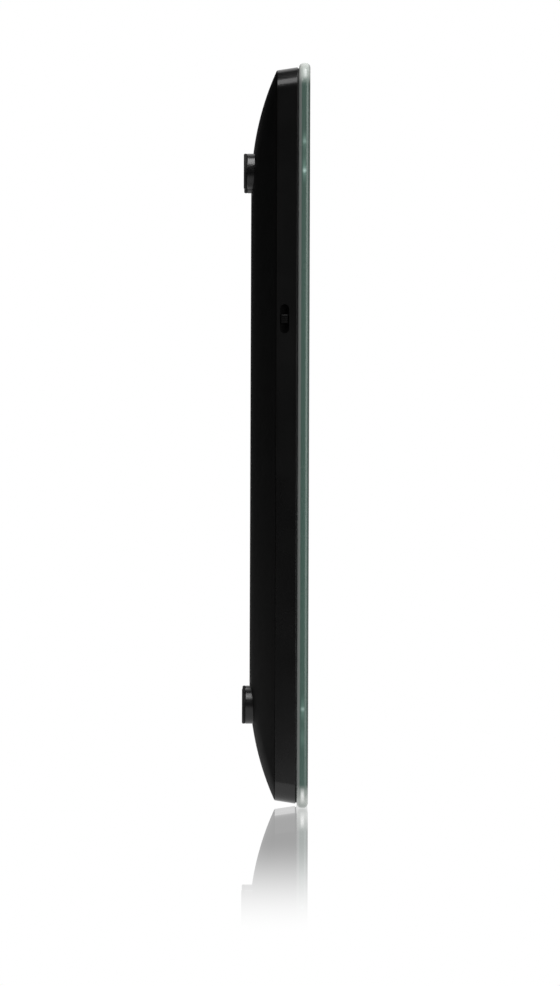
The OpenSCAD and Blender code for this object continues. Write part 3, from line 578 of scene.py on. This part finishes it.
# %% Glass platform
GLASS_EDGE_R, GLASS_CORNER_R = 1.4 * mm, 7.0 * mm
glass_low, glass_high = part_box("glass_platform")
glass_x, glass_y = glass_high.x, glass_high.y
FACE_GAP = 0.02 * mm                 # keeps the glass clear of the print's own face
EDGE_STEPS = 6
profile = []
for step in range(EDGE_STEPS + 1):
    a = math.pi / 2 * step / EDGE_STEPS
    profile.append((GLASS_EDGE_R * (1 - math.sin(a)), GLASS_EDGE_R * (1 - math.cos(a))))
levels = [(inset, glass_low.z + FACE_GAP + lift) for inset, lift in profile]
levels += [(inset, glass_high.z - lift) for inset, lift in reversed(profile)]
glass = loft("glass_platform_polished", [
    ring(glass_x - inset, glass_y - inset, GLASS_CORNER_R - inset, z, 16, 40)
    for inset, z in levels])
glass.data.materials.append(clear_glass())
glass.data.materials.append(polished_edge_painted_light(glass_low, glass_high))
for face in glass.data.polygons:
    face.material_index = 0 if abs(face.normal.z) > 0.999 else 1
soften(glass, 0, 50)
place(glass, "scale", None, "platform_glass", "glass_platform")

# %% [markdown]
# ## The upper housing
# The upper housing is an ABS tray turned upside down: a flat plate under the glass with a low
# skirt round it. The skirt leans in by a degree or so, so that it leaves its mould, and its edges
# are slightly round. It is a loft through rounded rectangles, hollowed by a second loft, and then
# cut for the display, the two touch springs and the unit selector.

# %% Upper housing
split_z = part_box("upper_housing")[0].z
top_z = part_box("upper_housing")[1].z
SKIRT_IN_TOP, SKIRT_IN_LOW, SKIRT_R, SKIRT_WALL = 1.3 * mm, 2.2 * mm, 6.0 * mm, 1.8 * mm
PLATE_T, EDGE_R, TOP_EDGE_R = 1.6 * mm, 0.35 * mm, 0.12 * mm


def inset_ring(inset, height, corner):
    """A ring at a distance in from the edge of the glass."""
    return ring(glass_x - inset, glass_y - inset, corner, height, 14, 24)


def rounded_side(low_inset, low_z, low_radius, high_inset, high_z, high_radius, corner):
    """Rings up a leaning side whose lower and upper edges are round."""
    rings, steps = [], 4
    for end, level, radius, way in ((low_inset, low_z, low_radius, 1),
                                    (high_inset, high_z, high_radius, -1)):
        for step in range(steps + 1):
            a = math.pi / 2 * (step if way > 0 else steps - step) / steps
            inset = end + radius * (1 - math.sin(a))
            rings.append(inset_ring(inset, level + way * radius * (1 - math.cos(a)),
                                    corner - (inset - end)))
    return rings


upper = loft("upper_housing_moulding",
             rounded_side(SKIRT_IN_LOW, split_z, EDGE_R, SKIRT_IN_TOP, top_z, TOP_EDGE_R, SKIRT_R))
inner = SKIRT_IN_LOW + SKIRT_WALL
hollow = loft("hollow", [inset_ring(inner, z, SKIRT_R - SKIRT_WALL)
                         for z in (split_z - mm, top_z - PLATE_T)])
cut(upper, hollow)


WINDOW_GAP, SPRING_HOLE_D = 0.6 * mm, 9 * mm


def slab_cutter(name, size_x, size_y, corner, low_z, high_z, centre=(0, 0)):
    cutter = loft(name, [ring(size_x / 2, size_y / 2, corner, z, 8, 2) for z in (low_z, high_z)])
    cutter.data.transform(Matrix.Translation((centre[0], centre[1], 0)))
    return cutter


def round_cutter(name, diameter, low_z, high_z, centre=(0, 0), steps=48):
    return loft(name, [disc_ring(diameter / 2, z, steps, centre) for z in (low_z, high_z)])


panel_low, panel_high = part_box("lcd_panel")
lcd_centre = (panel_low + panel_high) / 2
cut(upper, slab_cutter("window", panel_high.x - panel_low.x + WINDOW_GAP,
                       panel_high.y - panel_low.y + WINDOW_GAP, 0.8 * mm, top_z - 3 * mm,
                       top_z + mm, (0, lcd_centre.y)))
spring_places = []
for side in ("left", "right"):
    low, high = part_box("touch_spring_" + side)
    spring_places.append(((low.x + high.x) / 2, (low.y + high.y) / 2))
    cut(upper, round_cutter("spring_hole", SPRING_HOLE_D, top_z - 3 * mm, top_z + mm,
                            spring_places[-1]))
slider_low, slider_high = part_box("unit_slider")
slot_y = (slider_low.y + slider_high.y) / 2
slot_z = (slider_low.z + slider_high.z) / 2
SLOT_L, SLOT_H = 9.0 * mm, 2.8 * mm
slot_cut = slab_cutter("selector_slot", SLOT_H, SLOT_L, SLOT_H / 2 - 0.02 * mm, -3 * mm, 3 * mm)
slot_cut.data.transform(Matrix.Translation((glass_x - 2.5 * mm, slot_y, slot_z))
                        @ Matrix.Rotation(math.radians(90), 4, "Y"))
cut(upper, slot_cut)
soften(upper, 0, 40)
place(upper, "scale", slots["housing_plastic"], "housing_plastic", "upper_housing")

# %% [markdown]
# ## The lower housing
# The lower housing is a shallow tray. Seen from the side it sweeps inwards along a large arc, so
# the scale looks thinner than it is. One loft goes up the inner face, over the rim and down the
# outer face, which gives an even wall. Screw bosses and the walls of the battery bay are added,
# and then the openings are cut: four for the feet, five for the screws, and the bay with its
# door's recess.

# %% Lower housing shell
floor_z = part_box("lower_housing")[0].z
BELLY_R, SHELL_WALL, GROWTH = 85 * mm, 1.8 * mm, 0.35
belly_h = split_z - floor_z
belly_run = math.sqrt(2 * BELLY_R * belly_h - belly_h ** 2)


def belly_ring(radius, a):
    inset = SKIRT_IN_LOW + belly_run - radius * math.sin(a)
    return inset_ring(inset, floor_z + BELLY_R - radius * math.cos(a),
                      SKIRT_R + GROWTH * (inset - SKIRT_IN_LOW))


LEVELS = 18
outer_angle = math.asin(belly_run / BELLY_R)
inner_radius = BELLY_R - SHELL_WALL
inner_angle = math.acos((BELLY_R - belly_h) / inner_radius)
rings = [belly_ring(inner_radius, inner_angle * k / LEVELS) for k in range(LEVELS + 1)]
rings.append(inset_ring(SKIRT_IN_LOW + EDGE_R, split_z, SKIRT_R - EDGE_R))
rings.append(inset_ring(SKIRT_IN_LOW + 0.3 * EDGE_R, split_z - 0.12 * EDGE_R,
                        SKIRT_R - 0.3 * EDGE_R))
rings += [belly_ring(BELLY_R, outer_angle * (0.99 * k / LEVELS)) for k in range(LEVELS, -1, -1)]
lower = loft("lower_housing_moulding", rings)

cell_low, cell_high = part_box("coin_battery")
bay_centre = ((cell_low.x + cell_high.x) / 2, (cell_low.y + cell_high.y) / 2)
bay_top = cell_high.z + 1.2 * mm
DOOR_W, DOOR_L, DOOR_GAP, KNUCKLE_R = 28 * mm, 30 * mm, 0.3 * mm, 1.2 * mm
BAY_WALLS = 6 * mm
fuse(lower, slab_cutter("bay_walls", DOOR_W + BAY_WALLS, DOOR_L + BAY_WALLS, 2 * mm,
                        floor_z + 0.5 * mm, bay_top + 1.2 * mm, bay_centre))
BOSS_D, HEAD_RECESS_D, SHANK_HOLE_D = 7.6 * mm, 5.4 * mm, 3.4 * mm
HEAD_TO_CURVE, FOOT_TO_SCREW = 4.2 * mm, 28 * mm     # each head is on the flat
screw_inset = SKIRT_IN_LOW + belly_run + HEAD_TO_CURVE
foot_centres = {}
for corner in CORNERS:
    low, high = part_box("foot_pad_" + corner)
    foot_centres[corner] = ((low.x + high.x) / 2, (low.y + high.y) / 2)
front_screw_y = foot_centres["front_left"][1] + FOOT_TO_SCREW
back_screw_y = foot_centres["back_left"][1] - FOOT_TO_SCREW
screw_places = [(side * (glass_x - screw_inset), y) for side in (-1, 1)
                for y in (front_screw_y, back_screw_y)] + [(0, glass_y - screw_inset)]
for x, y in screw_places:
    fuse(lower, round_cutter("boss", BOSS_D, floor_z + 2.5 * mm, split_z, (x, y)))
print("shell with", len(screw_places), "bosses and the battery bay's walls")

# %% Lower housing openings
head_seat_z = split_z - 1.6 * mm
for x, y in screw_places:
    cut(lower, round_cutter("head_recess", HEAD_RECESS_D, floor_z - mm, head_seat_z, (x, y)))
    cut(lower, round_cutter("shank_hole", SHANK_HOLE_D, floor_z, split_z + mm, (x, y), 24))
FOOT_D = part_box("foot_pad_front_left")[1].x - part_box("foot_pad_front_left")[0].x
for centre in foot_centres.values():
    cut(lower, round_cutter("foot_hole", FOOT_D + mm, floor_z - mm, split_z - mm, centre, 64))
cut(lower, slab_cutter("door_recess", DOOR_W + 2 * DOOR_GAP, DOOR_L + 2 * DOOR_GAP, mm,
                       floor_z - mm, cell_low.z, bay_centre))
cut(lower, round_cutter("cell_bay", cell_high.x - cell_low.x + 0.8 * mm, floor_z, bay_top,
                        bay_centre, 72))
hinge = Vector((0, bay_centre[1] + DOOR_L / 2 - KNUCKLE_R, floor_z + KNUCKLE_R))


def along_x(cutter, centre):
    cutter.data.transform(Matrix.Translation(centre) @ Matrix.Rotation(math.radians(90), 4, "Y"))
    return cutter


cut(lower, along_x(round_cutter("knuckle_groove", 2 * (KNUCKLE_R + DOOR_GAP),
                                -DOOR_W / 2 - DOOR_GAP, DOOR_W / 2 + DOOR_GAP), hinge))
cut(lower, along_x(round_cutter("pin_sockets", 1.6 * mm, -DOOR_W / 2 - 1.8 * mm,
                                DOOR_W / 2 + 1.8 * mm, steps=24), hinge))
scoop = round_cutter("nail_scoop", 9 * mm, floor_z - mm, floor_z + 0.9 * mm,
                     (bay_centre[0], bay_centre[1] - DOOR_L / 2 - 4 * mm))
cut(lower, scoop)
soften(lower, 0, 30)
place(lower, "scale", underside_abs_painted_shade, "housing_plastic", "lower_housing")

# %% [markdown]
# ## Feet and pads
# Each foot is turned in shape: a round button under a wide flange that hooks behind the housing,
# with a stem that presses on the load cell. The rubber pad under it is moulded with round edges
# and rings, so that it grips a wet worktop. Both are profiles swept round an axis.

# %% Feet and pads
def lathe(name, profile, centre, steps=72):
    """A closed solid of revolution. The profile starts and ends on the axis."""
    points = [Vector((centre[0], centre[1], profile[0][1]))]
    for radius, z in profile[1:-1]:
        points += disc_ring(radius, z, steps, centre)
    points.append(Vector((centre[0], centre[1], profile[-1][1])))
    count, last = len(profile) - 2, len(points) - 1
    faces = [[0, 1 + (k + 1) % steps, 1 + k] for k in range(steps)]
    for level in range(count - 1):
        a, b = 1 + level * steps, 1 + (level + 1) * steps
        faces += [[a + k, a + (k + 1) % steps, b + (k + 1) % steps, b + k] for k in range(steps)]
    a = 1 + (count - 1) * steps
    faces += [[a + k, a + (k + 1) % steps, last] for k in range(steps)]
    return new_piece(name, points, faces)


def arc(centre_r, centre_z, radius, start, end, steps=5):
    """Profile points on an arc, with its angles in degrees."""
    return [(centre_r + radius * math.cos(math.radians(start + (end - start) * k / steps)),
             centre_z + radius * math.sin(math.radians(start + (end - start) * k / steps)))
            for k in range(steps + 1)]


foot_low, foot_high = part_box("foot_front_left")
pad_top = foot_low.z
foot_r, flange_r = FOOT_D / 2, (foot_high.x - foot_low.x) / 2
flange_low = 6.2 * mm
foot_profile = [(0, pad_top), (foot_r - 0.35 * mm, pad_top)]
foot_profile += arc(foot_r - 0.25 * mm, pad_top + 0.25 * mm, 0.25 * mm, -90, 0)
foot_profile += [(foot_r, flange_low - 0.2 * mm), (foot_r + 0.2 * mm, flange_low)]
foot_profile += arc(flange_r - 0.2 * mm, flange_low + 0.2 * mm, 0.2 * mm, -90, 0)
foot_profile += [(flange_r, flange_low + 0.8 * mm), (flange_r - 0.2 * mm, flange_low + mm),
                 (3 * mm, flange_low + mm), (3 * mm, 8.15 * mm), (1.5 * mm, 8.15 * mm),
                 (1.5 * mm, foot_high.z - 0.3 * mm), (1.2 * mm, foot_high.z), (0, foot_high.z)]
pad_profile = [(0, 0)]
for radius in (1.2 * mm, 2.2 * mm, 3.2 * mm, 4.2 * mm):
    pad_profile += [(radius, 0), (radius + 0.1 * mm, 0.2 * mm), (radius + 0.4 * mm, 0.2 * mm),
                    (radius + 0.5 * mm, 0)]
pad_profile += arc(foot_r - 0.4 * mm, 0.4 * mm, 0.4 * mm, -90, 0)
pad_profile += [(foot_r, pad_top - 0.15 * mm), (foot_r - 0.15 * mm, pad_top), (0, pad_top)]
for corner, centre in foot_centres.items():
    foot = soften(lathe("foot_button_" + corner, foot_profile, centre), 0, 40)
    place(foot, "scale", slots["foot_plastic"], "foot_plastic", "foot_" + corner)
    pad = soften(lathe("rubber_pad_" + corner, pad_profile, centre), 0, 40)
    place(pad, "scale", slots["pad_rubber"], "pad_rubber", "foot_pad_" + corner)

# %% [markdown]
# ## The battery door
# The door is a thin moulding that swings on two stub pins at its back edge. Ribs near its front
# edge give a thumb something to push, and a small raised mark shows the way. The plate, knuckle
# and pins are joined as solids, and the grip grooves are cut with long rounded cutters.

# %% Battery door
DOOR_T = 1.6 * mm
door_front = bay_centre[1] - DOOR_L / 2
plate_l = DOOR_L - KNUCKLE_R
door = slab_cutter("battery_door_moulding", DOOR_W, plate_l, 0.8 * mm, floor_z, floor_z + DOOR_T,
                   (0, door_front + plate_l / 2))
soften(door, 0.25 * mm, 35)
knuckle = along_x(round_cutter("knuckle", 2 * KNUCKLE_R, -DOOR_W / 2, DOOR_W / 2), hinge)
fuse(door, soften(knuckle, 0.2 * mm, 35))
pins = along_x(round_cutter("pins", 1.4 * mm, -DOOR_W / 2 - 1.6 * mm, DOOR_W / 2 + 1.6 * mm,
                            steps=24), hinge)
fuse(door, soften(pins, 0.15 * mm, 35))
nib = bar("nib", (-3 * mm, door_front - 0.2 * mm, floor_z + 0.6 * mm),
          (3 * mm, door_front + 0.8 * mm, floor_z + 1.2 * mm))
fuse(door, soften(nib, 0.12 * mm, 35))
for k in range(5):
    y = door_front + 2.7 * mm + 1.4 * mm * k
    groove = slab_cutter("grip_groove", 12 * mm, 0.6 * mm, 0.29 * mm, floor_z - mm,
                         floor_z + 0.35 * mm, (0, y))
    cut(door, groove)
soften(door, 0, 35)
place(door, "battery_door", underside_abs_painted_shade, "housing_plastic", "battery_door")

# %% [markdown]
# ## The unit selector
# A small slide behind the skirt changes the weighing unit. Only its ribbed knob shows, deep in
# the slot. The plate and the knob are one moulding, and the ribs stop a fingernail slipping.

# %% Unit selector
SLIDER_T, KNOB_L = 1.2 * mm, 2.6 * mm
slider = bar("unit_selector_moulding", slider_low,
             (slider_low.x + SLIDER_T, slider_high.y, slider_high.z))
soften(slider, 0.15 * mm, 35)
knob_h = SLOT_H - 0.5 * mm
knob = bar("knob", (slider_low.x + SLIDER_T - 0.2 * mm, slot_y - KNOB_L / 2, slot_z - knob_h / 2),
           (slider_high.x, slot_y + KNOB_L / 2, slot_z + knob_h / 2))
fuse(slider, soften(knob, 0.25 * mm, 35))
for offset in (-0.65 * mm, 0, 0.65 * mm):
    y = slot_y + offset
    rib_gap = bar("rib_gap", (slider_high.x - 0.3 * mm, y - 0.12 * mm, slot_z - 2 * mm),
                  (slider_high.x + mm, y + 0.12 * mm, slot_z + 2 * mm))
    cut(slider, rib_gap)
pocket = bar("lever_pocket", (slider_low.x - 0.1 * mm, slot_y - 0.85 * mm, slot_z - 0.75 * mm),
             (slider_low.x + 0.8 * mm, slot_y + 0.85 * mm, slot_z + 0.75 * mm))
cut(slider, pocket)
soften(slider, 0, 35)
place(slider, "unit_selector", slots["knob_plastic"], "knob_plastic", "unit_slider")

# %% [markdown]
# ## Fasteners, key marks and display digits
# Some small things repeat: the housing screws, the rings round the two keys and the bars of the
# display's digits. Each is modelled once and a Geometry Nodes tree copies it to a set of points.
# Every point keeps its own turn. The tree makes the copies real, so each set ends as one plain
# mesh.

# %% Copies on points
def build_copy_tree():
    tree = bpy.data.node_groups.new("copy_to_points", "GeometryNodeTree")
    for label, kind in (("Points", "NodeSocketGeometry"), ("Copy", "NodeSocketObject"),
                        ("Finish", "NodeSocketMaterial")):
        tree.interface.new_socket(label, in_out="INPUT", socket_type=kind)
    tree.interface.new_socket("Copies", in_out="OUTPUT", socket_type="NodeSocketGeometry")
    given = add(tree, "NodeGroupInput").outputs
    source = add(tree, "GeometryNodeObjectInfo", {"Object": given["Copy"]})
    turn = add(tree, "GeometryNodeInputNamedAttribute", {"Name": "turn"}, data_type="FLOAT")
    angle = add(tree, "ShaderNodeCombineXYZ", {"Z": turn.outputs["Attribute"]})
    copies = add(tree, "GeometryNodeInstanceOnPoints",
                 {"Points": given["Points"], "Instance": source.outputs["Geometry"],
                  "Rotation": angle.outputs["Vector"]})
    real = add(tree, "GeometryNodeRealizeInstances", {"Geometry": copies.outputs["Instances"]})
    painted = add(tree, "GeometryNodeSetMaterial",
                  {"Geometry": real.outputs["Geometry"], "Material": given["Finish"]})
    add(tree, "NodeGroupOutput", {"Copies": painted.outputs["Geometry"]})
    return tree


COPY_TREE = build_copy_tree()
print(COPY_TREE.name, "has", len(COPY_TREE.nodes), "nodes")


def copy_to(name, copy, places, material, turns=None):
    """One mesh of copies of an object at the places, each turned about Z."""
    piece = new_piece(name, places, [], solid=False)
    turn = piece.data.attributes.new("turn", "FLOAT", "POINT")
    turn.data.foreach_set("value", turns or [0.0] * len(places))
    step = piece.modifiers.new("copies", "NODES")
    step.node_group = COPY_TREE
    sockets = {item.name: item.identifier for item in COPY_TREE.interface.items_tree}
    step[sockets["Copy"]] = copy
    step[sockets["Finish"]] = material
    bpy.context.view_layer.update()
    settle(piece)
    bpy.data.objects.remove(copy)
    print(name, "is", len(places), "copies")
    return piece


# %% Screws
def screw(name, shank_r, head_r, head_h, length):
    """A pan-head screw that points up, with its seat at height 0 and a cross in its head."""
    profile = [(0, -head_h), (head_r * 0.55, -head_h * 0.98), (head_r * 0.85, -head_h * 0.8),
               (head_r * 0.98, -head_h * 0.4), (head_r, -0.1 * head_h), (head_r * 0.98, 0),
               (shank_r, 0)]
    pitch = 0.8 * mm
    root_r = shank_r * 0.8
    for k in range(int((length - 1.2 * mm) / pitch)):
        z = 0.5 * mm + pitch * k
        profile += [(root_r, z), (root_r, z + 0.3 * pitch), (shank_r, z + 0.5 * pitch),
                    (root_r, z + 0.7 * pitch)]
    profile += [(root_r, length - 0.6 * mm), (shank_r * 0.4, length), (0, length)]
    body = lathe(name, profile, (0, 0), 32)
    for long_x, long_y in ((head_r * 0.64, 0.3 * mm), (0.3 * mm, head_r * 0.64)):
        cross = bar("cross", (-long_x, -long_y, -head_h - mm), (long_x, long_y, -head_h * 0.5))
        cut(body, cross)
    return soften(body, 0, 35)


screw_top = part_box("housing_screws")[1].z
turns = [0.4 + 1.1 * k for k in range(len(screw_places))]
one_screw = screw("housing_screw", 1.45 * mm, 2.4 * mm, 1.5 * mm, screw_top - head_seat_z)
screws = copy_to("housing_screw_set", one_screw, [(x, y, head_seat_z) for x, y in screw_places],
                 slots["screw_steel"], turns)
place(screws, "scale", None, "screw_steel", "housing_screws")

# %% Key marks printed behind the glass
PRINT_GAP = 0.006 * mm
print_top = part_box("printed_layer")[1].z


def flat_strip(name, path, width, thickness, closed=False):
    """A flat printed line of even width along a path in the XY plane."""
    count = len(path)
    points, faces = [], []
    for k, p in enumerate(path):
        before = path[(k - 1) % count] if closed or k else p
        after = path[(k + 1) % count] if closed or k < count - 1 else p
        way = Vector((after[0] - before[0], after[1] - before[1])).normalized()
        across = Vector((-way.y, way.x)) * width / 2
        for side, z in ((-1, 0), (1, 0), (1, thickness), (-1, thickness)):
            points.append((p[0] + side * across.x, p[1] + side * across.y, z))
    for k in range(count if closed else count - 1):
        a, b = 4 * k, 4 * ((k + 1) % count)
        faces += [(a + j, a + (j + 1) % 4, b + (j + 1) % 4, b + j) for j in range(4)]
    if not closed:
        faces += [(0, 3, 2, 1), tuple(4 * (count - 1) + j for j in range(4))]
    return new_piece(name, points, faces)


def circle_path(radius, start=0, end=360, steps=48, centre=(0, 0)):
    return [(centre[0] + radius * math.cos(math.radians(start + (end - start) * k / steps)),
             centre[1] + radius * math.sin(math.radians(start + (end - start) * k / steps)))
            for k in range(steps if end - start == 360 else steps + 1)]


def joined(name, parts):
    """One piece from several, which are removed."""
    work = bmesh.new()
    for part in parts:
        work.from_mesh(part.data)
        bpy.data.objects.remove(part)
    piece = new_piece(name, [], [], solid=False)
    work.to_mesh(piece.data)
    work.free()
    return piece


INK_T = 0.008 * mm
key_ring = flat_strip("key_ring", circle_path(6.5 * mm), 0.35 * mm, INK_T, closed=True)
rings_piece = copy_to("key_rings", key_ring,
                      [(x, y, print_top + PRINT_GAP) for x, y in spring_places], white_print)
power = joined("power_sign", [
    flat_strip("power_arc", circle_path(2.6 * mm, 125, 415, 40), 0.55 * mm, INK_T),
    flat_strip("power_bar", [(0, 1.1 * mm), (0, 3.4 * mm)], 0.55 * mm, INK_T)])
left_key, right_key = sorted(spring_places)
zero = joined("zero_sign", [
    flat_strip("turn_arc_a", circle_path(2.7 * mm, 30, 150, 24), 0.55 * mm, INK_T),
    flat_strip("turn_arc_b", circle_path(2.7 * mm, 210, 330, 24), 0.55 * mm, INK_T),
    flat_strip("arrow_a", [(-3.5 * mm, 1.9 * mm), (-2.3 * mm, 1.2 * mm), (-1.7 * mm, 2.5 * mm)],
               0.45 * mm, INK_T),
    flat_strip("arrow_b", [(3.5 * mm, -1.9 * mm), (2.3 * mm, -1.2 * mm), (1.7 * mm, -2.5 * mm)],
               0.45 * mm, INK_T)])
signs = [copy_to("power_mark", power, [(*left_key, print_top + PRINT_GAP)], white_print),
         copy_to("turn_mark", zero, [(*right_key, print_top + PRINT_GAP)], white_print)]
marks = joined("key_marks", [rings_piece, *signs])
place(marks, "scale", white_print, "back_print")

# %% Display digits
DIGIT_H, DIGIT_W, BAR_W, DIGIT_GAP = 11.5 * mm, 6.4 * mm, 1.0 * mm, 3.6 * mm
BAR_T, BAR_LIFT = 0.02 * mm, 0.004 * mm
panel_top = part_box("lcd_panel")[1].z


def display_bar(length):
    """One bar of a digit, with pointed ends."""
    half, w = length / 2, BAR_W / 2
    outline = [(-half, 0), (-half + w, w), (half - w, w), (half, 0), (half - w, -w),
               (-half + w, -w)]
    return loft("display_bar", [[Vector((x, y, z)) for x, y in outline] for z in (0, BAR_T)])


spots, spins = [], []
for digit in range(4):
    x = (digit - 1.5) * (DIGIT_W + DIGIT_GAP)
    for dy, dx, spin in ((1, 0, 0), (0, 0, 0), (-1, 0, 0), (0.5, -1, 90), (0.5, 1, 90),
                         (-0.5, -1, 90), (-0.5, 1, 90)):
        spots.append((x + dx * DIGIT_W / 2, lcd_centre.y + dy * DIGIT_H / 2, panel_top + BAR_LIFT))
        spins.append(math.radians(spin))
digits = copy_to("display_digits", display_bar(DIGIT_H / 2 - 0.15 * mm), spots, digit_ink, spins)
place(digits, "scale", digit_ink, "display_glass")

# %% [markdown]
# ## Floor, light and backdrop
# The scale stands on its back end on a glossy white sheet, which mirrors it and fades with
# distance. The sheet's back is clear, so it never hides the scale from behind. The light is a
# white studio: a bright backdrop behind the scale, large soft lamps round it, and a darker room
# on the camera's side, which keeps black plastic black.

# %% Floor
SHEET_GAP = 0.05 * mm
floor_y = cad_high.y + SHEET_GAP
sheet_corners = ((-0.35, -0.6), (4.5, -0.6), (4.5, 0.6), (-0.35, 0.6))
floor = new_piece("white_sheet", [(x, floor_y, z) for x, z in sheet_corners], [(0, 1, 2, 3)],
                  solid=False)
if floor.data.polygons[0].normal.y > 0:
    floor.data.flip_normals()


def sheet_finish():
    """White that the camera sees evenly, with a mirror near the scale, and clear from behind."""
    material, tree = blank_material("glossy_white_sheet", keep_shader=False)
    split = add(tree, "ShaderNodeSeparateXYZ", {"Vector": own_place(tree)}).outputs
    seen = add(tree, "ShaderNodeLightPath").outputs["Is Camera Ray"]
    near = smooth(tree, split["X"], 0.15, 0.6, 0.8, 0.0)
    white = add(tree, "ShaderNodeEmission", {"Strength": calculate(tree, "MAXIMUM", near, seen)})
    facing = add(tree, "ShaderNodeLayerWeight").outputs["Facing"]
    off_middle = calculate(tree, "ABSOLUTE", calculate(tree, "SUBTRACT", split["Z"], 0.01))
    mirrored = smooth(tree, split["X"], 0.75, 2.25, 0.70, 0.0)
    for factor in (calculate(tree, "POWER", facing, 6.0),
                   smooth(tree, off_middle, 0.016, 0.024, 1.0, 0.0), seen):
        mirrored = calculate(tree, "MULTIPLY", mirrored, factor)
    mirror = add(tree, "ShaderNodeBsdfGlossy", {"Roughness": 0.0, "Color": (1, 1, 1, 1)})
    sheet = mix_shaders(tree, mirrored, white, mirror)
    clear = add(tree, "ShaderNodeBsdfTransparent")
    to_surface(tree, mix_shaders(tree, back_side(tree), sheet, clear))
    return material


floor.data.materials.append(sheet_finish())
print("floor faces", tuple(round(v) for v in floor.data.polygons[0].normal))

# %% Lamps
def lamp(name, place_at, target, size, power, colour=(1, 1, 1)):
    data = bpy.data.lights.new(name, "AREA")
    data.shape = "RECTANGLE"
    data.size, data.size_y = size
    data.energy = power
    data.color = colour
    item = bpy.data.objects.new(name, data)
    bpy.context.scene.collection.objects.link(item)
    item.location = place_at
    item.rotation_euler = (Vector(target) - Vector(place_at)).to_track_quat("-Z", "Y").to_euler()
    item.visible_camera = False
    return item


lamp("front_softbox", (0.45, -1.1, 0.15), (0, 0, 0.01), (0.9, 0.5), 12)
lamp("top_softbox", (0.80, -0.1, 0.80), (0, 0, 0.01), (0.7, 0.9), 6.5)
lamp("under_softbox", (0.7, -0.7, -0.5), (0, 0, 0.01), (0.5, 0.5), 3)
print("three soft lamps")

# %% World
scene = bpy.context.scene
world = bpy.data.worlds.new("white_studio")
scene.world = world
world.use_nodes = True
sky = world.node_tree
way = add(sky, "ShaderNodeTexCoord").outputs["Generated"]
behind = add(sky, "ShaderNodeSeparateXYZ", {"Vector": way}).outputs["X"]
slant = add(sky, "ShaderNodeVectorMath", {0: way, 1: (-0.8, -0.6, 0)}, operation="DOT_PRODUCT")
room = calculate(sky, "ADD", smooth(sky, behind, -0.995, -0.97, 1.0, 0.02),
                 smooth(sky, slant.outputs["Value"], 0.84, 0.97, 0.0, 0.9))
seen = add(sky, "ShaderNodeLightPath").outputs["Is Camera Ray"]
strength = add(sky, "ShaderNodeMix", {"Factor": seen, "A": room, "B": 1.0}).outputs["Result"]
fill(sky, sky.nodes["Background"], {"Color": (1, 1, 1, 1), "Strength": strength})
scene.view_settings.view_transform = "Standard"
print("white studio ready")
